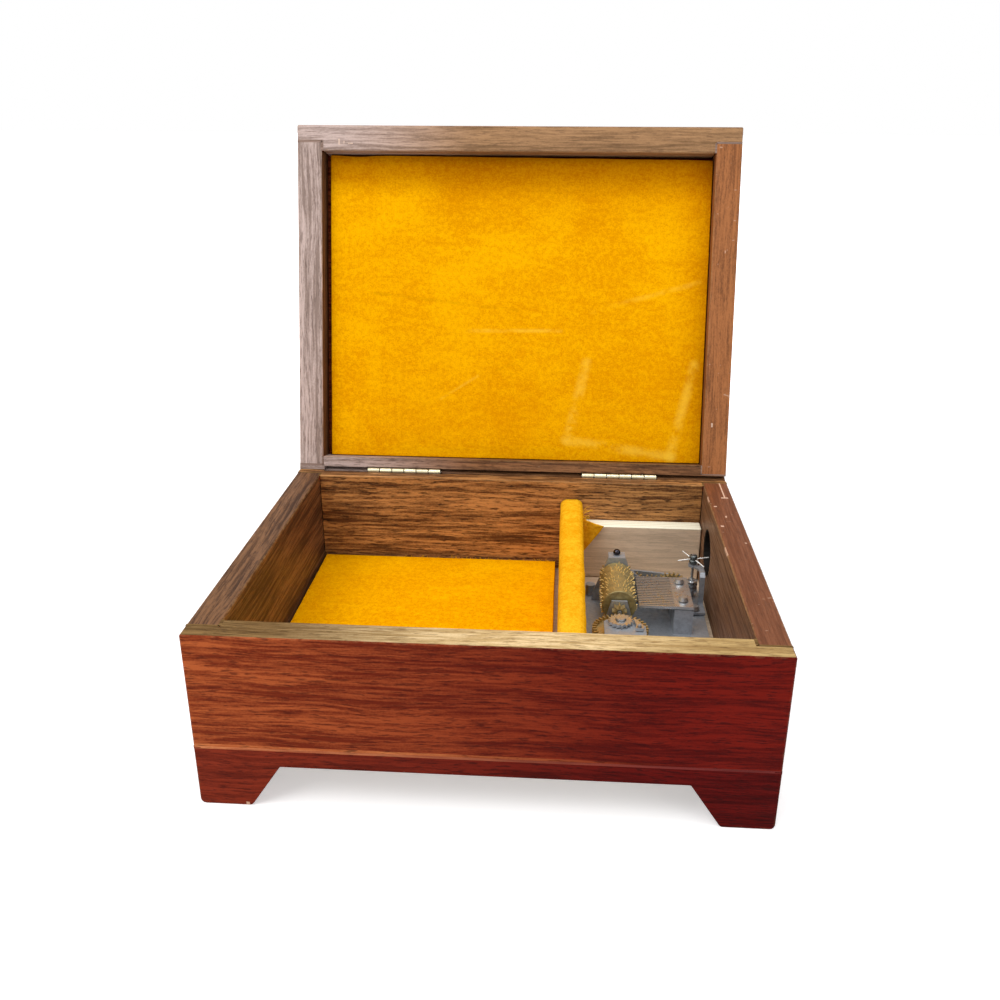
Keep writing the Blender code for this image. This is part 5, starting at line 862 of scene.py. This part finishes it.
class JEWELRYBOX_OT_lid_wood(bpy.types.Operator):
    """Finish the lid's frame and top in walnut"""

    bl_idname = "jewelry_box.lid_wood"
    bl_label = "Lid wood"

    def execute(self, context):
        looks = wood_looks(context.scene.jewelry_box_case)
        pale = (0.75, 0.55, 0.42)
        low, _ = board_extent("lid_front_rail", True)
        wall = 9.1 * MM

        def scratch(x, y, wide, deep, share=0.8):
            return ((low[0] + x * MM, low[1] + y * MM, low[2] - 1 * MM),
                    (low[0] + (x + wide) * MM, low[1] + (y + deep) * MM, low[2] + 0.5 * MM),
                    pale, 0.12 * MM, 0.35 * MM, share)
        marks = {"lid_front_rail": [scratch(15.6, 5.0, 0.35, 1.9), scratch(19.2, 6.4, 1.8, 0.25),
                                    scratch(17.5, 5.8, 0.3, 0.8, 0.5)],
                 "lid_right_rail": [scratch(158.6, 108.0, 0.5, 1.4, 0.7),
                                    scratch(160.5, 44.0, 0.3, 0.9, 0.4)]}
        # The same darkening towards the right on the lid, partly painted shade
        fade = ("x", low[0] * 1.15, -low[0])
        outer = {"lid_front_rail": ("y", low[1] + STAIN_DEPTH, low[1] + STAIN_DEPTH / 2),
                 "lid_rear_rail": ("y", REAR_HIGH[1] - STAIN_DEPTH, REAR_HIGH[1] - STAIN_DEPTH / 2),
                 "lid_left_rail": ("x", low[0] + STAIN_DEPTH, low[0] + STAIN_DEPTH / 2),
                 "lid_right_rail": ("x", -low[0] - STAIN_DEPTH, -low[0] - STAIN_DEPTH / 2)}
        # Painted reflection: the grey sheen reaches over the left ends of the front and rear lid rails
        sheen_end = ("x", -10 * MM, -75 * MM)
        plan = (("lid_front_rail", "X", "lid", ("+z",)), ("lid_rear_rail", "X", "lid_low", ("+z",)),
                ("lid_left_rail", "Y", "lid_painted_sheen", ("+z", "-y", "+y")),
                ("lid_right_rail", "Y", "lid_warm", ("+z", "-y", "+y")),
                ("lid_top_panel", "X", "front_left", ("-z",)))
        for seed, (name, along, look, joined) in enumerate(plan):
            scuff = 0.5 if look == "lid_warm" else 0.15
            stains_and_painted_light = []
            if look in {"lid", "lid_low"}:
                stains_and_painted_light.append(((sheen_end,), looks["lid_painted_sheen"]))
            if name == "lid_left_rail":
                # Painted shade on the rail's inner face
                inner = ("x", low[0] + wall, low[0] + wall + 0.1 * MM)
                stains_and_painted_light.append(((inner,), looks["walnut_in_shade"]))
            if along == "X":
                stains_and_painted_light.append(((outer["lid_left_rail"],), looks["front_left"]))
                stains_and_painted_light.append(((outer["lid_right_rail"],), looks["front_right"]))
            if name in outer:
                stains_and_painted_light.append(((outer[name],), looks["front_left"]))
                stains_and_painted_light.append(((outer[name], fade), looks["front_right"]))
            else:
                stains_and_painted_light.append(((fade,), looks["front_right"]))
            dress(name, wood_material(name.replace("_", " ").title(), name, looks[look], along=along,
                                      on_lid=True, wear=0.3, seed=20.0 + seed, scuff=scuff, joined=joined,
                                      stains_and_painted_light=stains_and_painted_light, marks=marks.get(name, ())))
        return {"FINISHED"}


# Velvet

class JEWELRYBOX_OT_lid_velvet(bpy.types.Operator):
    """Velvet panel inside the lid"""

    bl_idname = "jewelry_box.lid_velvet"
    bl_label = "Lid velvet"

    def execute(self, context):
        lining = context.scene.jewelry_box_lining
        low, high = board_extent("lid_velvet_panel", True)
        turned_over = ((1.1 * MM, 1.3 * MM), (1.6 * MM, 1.2 * MM))
        for i, (before, after) in enumerate(turned_over):
            low[i] -= before
            high[i] += after
        bm = cushion_mesh(low, high, lining.cuts, lining.crown, 0.1 * MM, -1)
        edge_band = 0.8 * MM
        edge_slant = 1.1 * MM
        dip = low[0] + 10.5 * MM
        dip_width = 5.0 * MM
        dip_depth = 0.7 * MM
        for vert in bm.verts:
            if vert.co.y < low[1] + edge_band:
                slant = (vert.co.x - low[0]) / (high[0] - low[0]) * edge_slant
                sag = math.exp(-((vert.co.x - dip) / dip_width) ** 2) * dip_depth
                vert.co.y += slant + sag + 0.15 * noise.noise(Vector((vert.co.x * 90, 4.0, 1.0))) * MM
        bmesh.ops.transform(bm, matrix=OPENED, verts=bm.verts)
        mat = velvet_material("Lid velvet", tuple(lining.velvet_lit), tuple(lining.velvet_deep), 0.6,
                              on_lid=True, painted_shades=lid_painted_shades(low, high), marks=lid_marks(low, high))
        panel = finish_piece("lid_velvet", bm, [mat])
        back = high[2] - 0.6 * (high[2] - low[2])
        held = [v.index for v in panel.data.vertices
                if (CLOSED @ v.co).z > back or not inside_rim(CLOSED @ v.co, low, high)]
        swell(panel, held, lining.swelling)
        add_subdivision(panel, 1)
        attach(panel, "lid")
        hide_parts("lid_velvet_panel")
        return {"FINISHED"}


def inside_rim(point, low, high):
    """Whether a point of a panel lies clear of its rim."""
    reach = 1.2 * MM
    return all(low[i] + reach < point[i] < high[i] - reach for i in range(2))


def lid_marks(low, high):
    """Places of the marks pressed into the lid's nap, in the closed lid's coordinates."""
    def spot(across, up):
        return (low[0] + (high[0] - low[0]) * across, high[1] - (high[1] - low[1]) * up, low[2])
    pale = (1.0, 0.6, 0.045)
    deep = (0.5, 0.19, 0.0)
    return [(spot(0.645, 0.07), spot(0.69, 0.33), 3 * MM, pale, 0.6),
            (spot(0.64, 0.07), spot(0.925, 0.02), 3 * MM, pale, 0.6),
            (spot(0.92, 0.02), spot(0.975, 0.33), 3 * MM, pale, 0.55),
            (spot(0.36, 0.43), spot(0.62, 0.435), 1.2 * MM, pale, 0.5),
            (spot(0.7, 0.5), spot(0.98, 0.6), 1.6 * MM, pale, 0.3),
            (spot(0.12, 0.55), spot(0.5, 0.5), 1.2 * MM, deep, 0.35),
            (spot(0.45, 0.3), spot(0.56, 0.36), 0.9 * MM, deep, 0.35),
            (spot(0.3, 0.2), spot(0.4, 0.28), 0.9 * MM, pale, 0.35)]


def lid_painted_shades(low, high):
    """Painted shade on the nap: the top rail's shadow below it and darker nap at the right, in the closed
    lid's coordinates.
    """
    past = 8 * MM
    rail_painted_shadow = (0.6, 0.52, 0.8)
    wide_painted_shadow = (0.85, 0.78, 0.9)
    side_painted_shade = (0.86, 0.8, 0.9)
    # Painted shadow under the top rail, a wider fainter painted shadow, and painted shade at the right
    return [((low[0] - past, low[1] - past, low[2] - past), (high[0] + past, low[1] + 5 * MM, high[2] + past),
             rail_painted_shadow, 13 * MM, 1.0),
            ((-20 * MM, low[1] - past, low[2] - past), (high[0] + past, low[1] + 12 * MM, high[2] + past),
             wide_painted_shadow, 22 * MM, 0.8),
            ((high[0] - 3 * MM, low[1] - past, low[2] - past),
             (high[0] + past, high[1] + past, high[2] + past), side_painted_shade, 16 * MM, 0.8)]


class JEWELRYBOX_OT_floor_velvet(bpy.types.Operator):
    """Velvet pad on the floor of the jewelry compartment"""

    bl_idname = "jewelry_box.floor_velvet"
    bl_label = "Floor velvet"

    def execute(self, context):
        lining = context.scene.jewelry_box_lining
        low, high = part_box("floor_velvet_pad")
        bm = cushion_mesh(tuple(low), tuple(high), lining.cuts, lining.crown, 0.25 * MM, 1)
        mat = velvet_material("Floor velvet", tuple(lining.velvet_lit), tuple(lining.velvet_deep), 0.5)
        pad = finish_piece("floor_velvet", bm, [mat])
        half = (low[2] + high[2]) / 2
        held = [v.index for v in pad.data.vertices if v.co.z < half or not inside_rim(v.co, low, high)]
        swell(pad, held, lining.swelling)
        add_subdivision(pad, 1)
        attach(pad, "case")
        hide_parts("floor_velvet_pad")
        return {"FINISHED"}


class JEWELRYBOX_OT_partition_velvet(bpy.types.Operator):
    """Velvet folded over the partition, with its loose corner over the ledge"""

    bl_idname = "jewelry_box.partition_velvet"
    bl_label = "Partition velvet"

    def execute(self, context):
        board_low, board_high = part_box("partition_board")
        low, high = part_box("partition_velvet")
        centre = (board_low[0] + board_high[0]) / 2
        half = centre - low[0]
        bm = bmesh.new()
        top = min(high[2], board_high[2] + half * 0.55)
        turn = half * 0.62
        ring = [(half - turn + turn * math.sin(a), top - turn + turn * math.cos(a))
                for a in (i * math.pi / 16 for i in range(9))]
        right = [*ring, *[(half, top - turn - (top - turn - low[2]) * i / 9) for i in range(1, 10)]]
        left = [(-x, z) for x, z in reversed(right)]
        verts = [bm.verts.new((centre + x, low[1], z)) for x, z in left + right]
        edges = [bm.edges.new(pair) for pair in zip(verts, verts[1:])]
        steps = 70
        drawn_in = 0.25 * MM
        bmesh.ops.spin(bm, geom=[*verts, *edges], cent=(0, 0, 0), axis=(0, 0, 1), angle=0.0, steps=steps,
                       dvec=(0, (high[1] - low[1]) / steps, 0), use_merge=False)
        for vert in bm.verts:
            shake = noise.noise(vert.co * 130) * 0.22 * MM + noise.noise(vert.co * 420) * 0.1 * MM
            away = Vector((vert.co.x - centre, 0, max(vert.co.z - top + turn, 0))).normalized()
            vert.co += away * (shake - drawn_in)
        mat = velvet_material("Partition velvet", (0.93, 0.5, 0.02), (0.75, 0.32, 0.003), 0.6)
        cover = finish_piece("partition_cover", bm, [mat])
        solid = cover.modifiers.new("Thickness", "SOLIDIFY")
        solid.thickness = 0.85 * MM
        solid.offset = -1.0
        flap = make_flap(centre + half, mat)
        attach(cover, "case")
        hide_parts("partition_velvet")
        return {"FINISHED"}


def make_flap(root_x, mat):
    """Loose corner of the velvet that hangs over the ledge board."""
    ledge_low, ledge_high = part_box("ledge_board")
    top = ledge_high[2]
    face_y = ledge_low[1]
    root_top = Vector((root_x - 0.6 * MM, top + 3.4 * MM))
    root_low = Vector((root_x - 0.6 * MM, top - 12.0 * MM))
    tip = Vector((root_x + 7.9 * MM, top + 0.4 * MM))
    bm = bmesh.new()
    count = 14
    bmesh.ops.create_grid(bm, x_segments=count, y_segments=count, size=0.5)
    for vert in bm.verts:
        u = vert.co.x + 0.5
        v = vert.co.y + 0.5
        root = root_low.lerp(root_top, v)
        far = tip + Vector((-0.9 * MM, -1.2 * MM)) * (1 - v)
        flat = root.lerp(far, u)
        sag = math.sin(u * math.pi * 0.9) * 0.9 * MM + noise.noise(Vector((u * 3, v * 4, 2))) * 0.35 * MM
        vert.co = Vector((flat.x, face_y - 0.75 * MM - sag * (0.6 + 0.4 * v), flat.y))
    flap = finish_piece("partition_flap", bm, [mat])
    solid = flap.modifiers.new("Thickness", "SOLIDIFY")
    solid.thickness = 0.5 * MM
    solid.offset = 0.0
    add_subdivision(flap, 1)
    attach(flap, "case")
    return flap


class JEWELRYBOX_OT_velvet_fibres(bpy.types.Operator):
    """Loose fibres where the velvet is cut"""

    bl_idname = "jewelry_box.velvet_fibres"
    bl_label = "Velvet fibres"

    def execute(self, context):
        rng = random.Random(4)
        velvet_low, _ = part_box("partition_velvet")
        board_low, board_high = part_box("partition_board")
        ledge_low, ledge_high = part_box("ledge_board")
        _, pad_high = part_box("floor_velvet_pad")
        right = board_low[0] + board_high[0] - velvet_low[0]
        corner_fibres = 44
        pad_fibres = 60
        bm = bmesh.new()
        for _ in range(corner_fibres):
            start = Vector((right - 0.4 * MM, ledge_low[1] - rng.uniform(0.2, 5.0) * MM,
                            ledge_high[2] + rng.uniform(1.0, 6.0) * MM))
            lean = Vector((rng.uniform(0.4, 1.0), rng.uniform(-0.6, 0.6), rng.uniform(-0.7, 0.7)))
            fibre(bm, start, lean.normalized() * rng.uniform(0.8, 3.4) * MM, rng)
        for _ in range(pad_fibres):
            start = Vector((pad_high[0] - rng.uniform(0.0, 60.0) * MM,
                            pad_high[1] - rng.uniform(0.0, 1.0) * MM, pad_high[2] - 0.2 * MM))
            lean = Vector((rng.uniform(-1, 1), rng.uniform(-0.6, 0.2), rng.uniform(0.2, 0.8)))
            fibre(bm, start, lean.normalized() * rng.uniform(0.4, 1.2) * MM, rng)
        mat = velvet_material("Fibre", (0.95, 0.55, 0.04), (0.8, 0.38, 0.006), 0.6)
        tufts = finish_piece("velvet_fibres", bm, [mat], clean=False)
        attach(tufts, "case")
        return {"FINISHED"}


def fibre(bm, start, reach, rng):
    """One thin curled fibre, in a few straight lengths."""
    lengths = 3
    radius = 0.05 * MM
    here = start
    step = reach / lengths
    for _ in range(lengths):
        curl = Vector((rng.uniform(-1, 1), rng.uniform(-1, 1), rng.uniform(-1, 1))) * reach.length * 0.2
        there = here + step + curl
        tube(bm, here, there, radius, segments=5)
        here = there


# Hinges and movement

class JEWELRYBOX_OT_hinges(bpy.types.Operator):
    """Finish the two barrel hinges"""

    bl_idname = "jewelry_box.hinges"
    bl_label = "Hinges"

    def execute(self, context):
        plate = metal_material("Hinge plating", (0.78, 0.72, 0.5), (0.5, 0.43, 0.25), 0.55, (0.3, 0.5))
        pin = metal_material("Hinge pin", (0.5, 0.48, 0.42), (0.25, 0.22, 0.18), 0.5)
        for side in ("left", "right"):
            dress(f"{side}_hinge_body_leaf", plate)
            dress(f"{side}_hinge_lid_leaf", plate)
            dress(f"{side}_hinge_pin", pin)
        return {"FINISHED"}


class JEWELRYBOX_OT_movement_metal(bpy.types.Operator):
    """Finish the metal of the music movement"""

    bl_idname = "jewelry_box.movement_metal"
    bl_label = "Movement metal"

    def execute(self, context):
        zinc = metal_material("Zinc casting", (0.44, 0.47, 0.51), (0.32, 0.345, 0.38), 0.8, (0.42, 0.62),
                              0.75)
        brass = metal_material("Wheel brass", (0.62, 0.48, 0.22), (0.42, 0.31, 0.14), 0.7, (0.35, 0.55), 0.8)
        steel = metal_material("Steel", (0.6, 0.62, 0.64), (0.42, 0.44, 0.46), 0.5, (0.25, 0.45), 0.85)
        blued = metal_material("Blued steel", (0.07, 0.07, 0.085), (0.03, 0.028, 0.03), 0.5)
        key = metal_material("Key plating", (0.8, 0.74, 0.5), (0.5, 0.43, 0.25), 0.5, (0.22, 0.45))
        finishes = {
            zinc: ("bedplate", "winding_bridge", "front_bearing_bracket", "rear_bearing_bracket",
                   "rear_train_plate", "governor_bridge"),
            brass: ("spring_barrel", "barrel_cover", "cylinder_gear", "cylinder_drive_pinion",
                    "second_wheel", "third_wheel", "worm_wheel"),
            steel: ("comb", "comb_screw_1", "comb_screw_2", "cylinder_arbor", "second_arbor", "third_arbor",
                    "fourth_arbor", "governor_worm", "winding_arbor", "ratchet_wheel", "ratchet_click",
                    "governor_bridge_screw", "mounting_screw_1", "mounting_screw_2", "mounting_screw_3"),
            blued: ("mainspring",),
            key: ("winding_key",),
        }
        for mat, names in finishes.items():
            for name in names:
                dress(name, mat)
        return {"FINISHED"}


class JEWELRYBOX_OT_music_cylinder(bpy.types.Operator):
    """Pinned cylinder with its rows of round pins"""

    bl_idname = "jewelry_box.music_cylinder"
    bl_label = "Music cylinder"

    def execute(self, context):
        movement = context.scene.jewelry_box_movement
        low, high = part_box("pinned_cylinder")
        arbor_low, arbor_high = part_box("cylinder_arbor")
        x = (arbor_low[0] + arbor_high[0]) / 2
        z = (arbor_low[2] + arbor_high[2]) / 2
        length = high[1] - low[1]
        tip = min(high[0] - x, x - low[0])
        pin_height = 0.66 * MM
        pin_root = 0.3 * MM
        radius = tip - pin_height
        bore = 1.2 * MM
        bm = bmesh.new()
        lip = 0.5 * MM
        shoulder = 0.2 * MM
        slope = 0.05 * MM
        rounding = 0.25 * MM
        recess = 0.15 * MM
        profile = [(bore, 0.0), (radius - lip, 0.0), (radius - shoulder, slope), (radius, rounding),
                   (radius, length - rounding), (radius - shoulder, length - slope),
                   (radius - lip, length), (radius - 2 * lip, length - recess), (bore, length - recess),
                   (bore, 0.0)]
        place = Matrix.Translation((x, high[1], z)) @ Matrix.Rotation(math.pi / 2, 4, "X")
        lathe(bm, profile, place, segments=72)
        rng = random.Random(11)
        for i in range(movement.pins):
            track = i % movement.tracks
            turn = 2 * math.pi * rng.random()
            y = low[1] + length * (track + 0.5) / movement.tracks
            out = Vector((math.cos(turn), 0, math.sin(turn)))
            foot = Vector((x, y, z)) + out * (radius - pin_root)
            lean = Vector((rng.uniform(-0.06, 0.06), rng.uniform(-0.04, 0.04), rng.uniform(-0.06, 0.06))) * MM
            tube(bm, foot, foot + out * (tip - radius + 0.28 * MM) + lean, movement.pin_radius,
                 segments=8, end_radius=movement.pin_radius * 0.7, material_index=1)
        drum = metal_material("Drum brass", (0.46, 0.38, 0.17), (0.26, 0.21, 0.095), 0.8, (0.4, 0.6), 0.7)
        pins = metal_material("Pin brass", (1.0, 0.72, 0.27), (0.85, 0.56, 0.18), 0.3, (0.25, 0.4), 0.35)
        piece = finish_piece("music_drum", bm, [drum, pins], clean=False)
        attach(piece, "cylinder")
        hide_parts("pinned_cylinder")
        return {"FINISHED"}


class JEWELRYBOX_OT_governor_fly(bpy.types.Operator):
    """Dark hub with its crossed wires"""

    bl_idname = "jewelry_box.governor_fly"
    bl_label = "Governor fly"

    def execute(self, context):
        movement = context.scene.jewelry_box_movement
        low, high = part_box("governor_fly")
        x = (WORM_LOW[0] + WORM_HIGH[0]) / 2
        y = (WORM_LOW[1] + WORM_HIGH[1]) / 2
        height = high[2] - low[2]
        bm = bmesh.new()
        hub = 1.45 * MM
        bore = 0.65 * MM
        profile = [(bore, 0.0), (hub * 0.75, 0.0), (hub, 0.3 * MM), (hub, height * 0.35),
                   (hub * 0.8, height * 0.45), (hub * 0.8, height * 0.6), (hub, height * 0.68),
                   (hub, height - 0.3 * MM), (hub * 0.75, height), (bore, height), (bore, 0.0)]
        lathe(bm, profile, Matrix.Translation((x, y, low[2])), segments=28)
        middle = Vector((x, y, (low[2] + high[2]) / 2))
        reach = 5.55 * MM
        wire = movement.fly_wire
        for degrees, rise in ((6.0, 0.25 * MM), (128.0, 0.45 * MM)):
            for sign in (1, -1):
                turn = math.radians(degrees)
                out = Vector((math.cos(turn), math.sin(turn), 0)) * sign
                bend = middle + out * reach * 0.55 + Vector((0, 0, rise * sign))
                tube(bm, middle + out * 0.9 * MM, bend, wire, segments=10, material_index=1)
                tube(bm, bend, middle + out * reach + Vector((0, 0, rise * 2.2 * sign)), wire, segments=10,
                     end_radius=wire * 0.8, material_index=1)
        dark = metal_material("Hub", (0.16, 0.18, 0.18), (0.07, 0.08, 0.08), 0.6, (0.35, 0.5), 0.8)
        bright = metal_material("Wire", (0.9, 0.9, 0.88), (0.65, 0.65, 0.64), 0.3, (0.25, 0.4), 0.35)
        piece = finish_piece("fly_with_wires", bm, [dark, bright], clean=False)
        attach(piece, "governor")
        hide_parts("governor_fly")
        return {"FINISHED"}


class JEWELRYBOX_OT_dome_screw(bpy.types.Operator):
    """Dark domed screw on the rear bracket"""

    bl_idname = "jewelry_box.dome_screw"
    bl_label = "Dome screw"

    def execute(self, context):
        low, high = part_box("bracket_dome_screw")
        x, y = (low[0] + high[0]) / 2, (low[1] + high[1]) / 2
        radius = (high[0] - low[0]) / 2
        height = high[2] - low[2]
        shank = 0.53 * MM
        seat = 1.3 * MM
        collar = 0.45 * MM
        dome = [(radius * math.cos(a), seat + collar + (height - seat - collar) * math.sin(a))
                for a in (i * math.pi / 20 for i in range(11))]
        dome[-1] = (0.0, dome[-1][1])
        profile = [(0.0, 0.0), (shank, 0.0), (shank, seat), (radius * 0.92, seat),
                   (radius, seat + 0.15 * MM), *dome]
        bm = bmesh.new()
        lathe(bm, profile, Matrix.Translation((x, y, low[2])), segments=32)
        mat = metal_material("Blued screw", (0.05, 0.045, 0.055), (0.02, 0.02, 0.025), 0.4, (0.2, 0.35))
        piece = finish_piece("dome_screw", bm, [mat])
        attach(piece, "case")
        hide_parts("bracket_dome_screw")
        return {"FINISHED"}


# Stage

class JEWELRYBOX_OT_stage(bpy.types.Operator):
    """Pale floor, soft lamps and the camera"""

    bl_idname = "jewelry_box.stage"
    bl_label = "Stage"

    def execute(self, context):
        scene = context.scene
        stage = scene.jewelry_box_stage
        floor_reach = 6.0
        under_feet = 0.02 * MM
        bm = bmesh.new()
        bmesh.ops.create_grid(bm, x_segments=1, y_segments=1, size=floor_reach)
        bmesh.ops.translate(bm, verts=bm.verts, vec=(0, 0, -under_feet))
        floor = finish_piece("floor", bm, [floor_material()], smooth=False, clean=False)
        add_world(scene)
        for name, place, aim, size, power in (
                ("Key lamp", (-0.75, -0.7, 1.25), (0.0, 0.0, 0.06), 0.9, 13.0),
                ("Fill lamp", (0.95, -0.75, 0.75), (0.0, 0.0, 0.06), 0.9, 4.0),
                ("Top lamp", (0.1, 0.05, 1.5), (0.0, 0.0, 0.05), 0.8, 8.0)):
            add_lamp(scene, name, Vector(place), Vector(aim), size, power)
        add_camera(scene, stage)
        scene.view_settings.view_transform = "Standard"
        return {"FINISHED"}


def floor_material():
    """Pale floor that keeps the shadow and turns white away from the box."""
    mat, tree, shader, where = new_material("Pale floor")
    set_inputs(shader, Base_Color=(0.86, 0.86, 0.86, 1.0), Roughness=0.9)
    path = add_node(tree, "ShaderNodeLightPath")
    away = vector_calc(tree, "LENGTH", where)
    level = ramp(tree, away, 0.14, 0.5, 0.42, 1.2)
    seen = calc(tree, "MAXIMUM", path.outputs["Is Camera Ray"], path.outputs["Is Glossy Ray"])
    glow = add_node(tree, "ShaderNodeEmission", Color=(1.0, 1.0, 1.0),
                    Strength=calc(tree, "MULTIPLY", level, seen))
    total = tree.nodes.new("ShaderNodeAddShader")
    tree.links.new(shader.outputs[0], total.inputs[0])
    tree.links.new(glow.outputs[0], total.inputs[1])
    out = tree.nodes["Material Output"]
    tree.links.new(total.outputs[0], out.inputs["Surface"])
    return mat


def add_world(scene):
    """Soft grey surround that the camera sees as white."""
    world = bpy.data.worlds.new("Studio")
    scene.world = world
    world.use_nodes = True
    tree = world.node_tree
    back = tree.nodes["Background"]
    back.inputs["Color"].default_value = (1.0, 1.0, 1.0, 1.0)
    path = add_node(tree, "ShaderNodeLightPath")
    seen = calc(tree, "MAXIMUM", path.outputs["Is Camera Ray"],
                calc(tree, "MULTIPLY", path.outputs["Is Glossy Ray"], 0.35))
    level = ramp(tree, seen, 0.0, 1.0, 0.5, 1.0)
    tree.links.new(level, back.inputs["Strength"])


def add_lamp(scene, name, place, aim, size, power):
    """Square area lamp that looks at a point."""
    data = bpy.data.lights.new(name, "AREA")
    data.shape = "SQUARE"
    data.size = size
    data.energy = power
    lamp = bpy.data.objects.new(name, data)
    lamp.location = place
    lamp.rotation_euler = (aim - place).to_track_quat("-Z", "Y").to_euler()
    scene.collection.objects.link(lamp)


def add_camera(scene, stage):
    """Camera where the photograph was taken from."""
    data = bpy.data.cameras.new("Camera")
    data.sensor_width = SENSOR_WIDTH
    data.lens = stage.lens
    data.clip_start = 0.01
    camera = bpy.data.objects.new("Camera", data)
    pitch, yaw, roll = stage.camera_pitch, stage.camera_yaw, stage.camera_roll
    ahead = Vector((math.sin(yaw) * math.cos(pitch), math.cos(yaw) * math.cos(pitch), -math.sin(pitch)))
    right = Vector((math.cos(yaw), -math.sin(yaw), 0.0))
    up = right.cross(ahead)
    rolled_right = right * math.cos(roll) + up * math.sin(roll)
    rolled_up = up * math.cos(roll) - right * math.sin(roll)
    turn = Matrix((rolled_right, rolled_up, -ahead)).transposed().to_4x4()
    place = Vector((stage.camera_right, FRONT_LOW[1] - stage.camera_front, stage.camera_height))
    camera.matrix_world = Matrix.Translation(place) @ turn
    scene.collection.objects.link(camera)
    scene.camera = camera


# Panel and running order

class JEWELRYBOX_PT_panel(bpy.types.Panel):
    """Steps that dress the box, and their settings"""

    bl_label = "Jewelry box"
    bl_idname = "JEWELRYBOX_PT_panel"
    bl_space_type = "VIEW_3D"
    bl_region_type = "UI"
    bl_category = "Jewelry box"

    def draw(self, context):
        layout = self.layout
        scene = context.scene
        for step in STEPS:
            layout.operator(step.bl_idname)
        for group in (scene.jewelry_box_case, scene.jewelry_box_lining, scene.jewelry_box_movement,
                      scene.jewelry_box_stage):
            column = layout.column(align=True)
            for name in group.__annotations__:
                column.prop(group, name)


STEPS = (JEWELRYBOX_OT_case_wood, JEWELRYBOX_OT_case_seams, JEWELRYBOX_OT_lid_wood, JEWELRYBOX_OT_lid_velvet,
         JEWELRYBOX_OT_floor_velvet, JEWELRYBOX_OT_partition_velvet, JEWELRYBOX_OT_velvet_fibres,
         JEWELRYBOX_OT_hinges, JEWELRYBOX_OT_movement_metal, JEWELRYBOX_OT_music_cylinder,
         JEWELRYBOX_OT_governor_fly, JEWELRYBOX_OT_dome_screw, JEWELRYBOX_OT_stage)
SETTINGS = {"jewelry_box_case": BoxSettings, "jewelry_box_lining": LiningSettings,
            "jewelry_box_movement": MovementSettings, "jewelry_box_stage": StageSettings}


def register():
    for cls in (*SETTINGS.values(), *STEPS, JEWELRYBOX_PT_panel):
        bpy.utils.register_class(cls)
    for name, cls in SETTINGS.items():
        setattr(bpy.types.Scene, name, PointerProperty(type=cls))


def unregister():
    for name in SETTINGS:
        delattr(bpy.types.Scene, name)
    for cls in (JEWELRYBOX_PT_panel, *reversed(STEPS), *SETTINGS.values()):
        bpy.utils.unregister_class(cls)


def main():
    """Register the add-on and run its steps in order."""
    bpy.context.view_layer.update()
    GROUPS.update(grain=build_walnut_grain(), wear=build_edge_wear(), scuffs=build_scuffs(),
                  mark=build_marked_place(), nap=build_velvet_nap(), pressed=build_pressed_line(),
                  metal=build_metal_film())
    register()
    steps = bpy.ops.jewelry_box
    steps.case_wood()
    steps.case_seams()
    steps.lid_wood()
    steps.lid_velvet()
    steps.floor_velvet()
    steps.partition_velvet()
    steps.velvet_fibres()
    steps.hinges()
    steps.movement_metal()
    steps.music_cylinder()
    steps.governor_fly()
    steps.dome_screw()
    steps.stage()


if __name__ == "__main__":
    main()
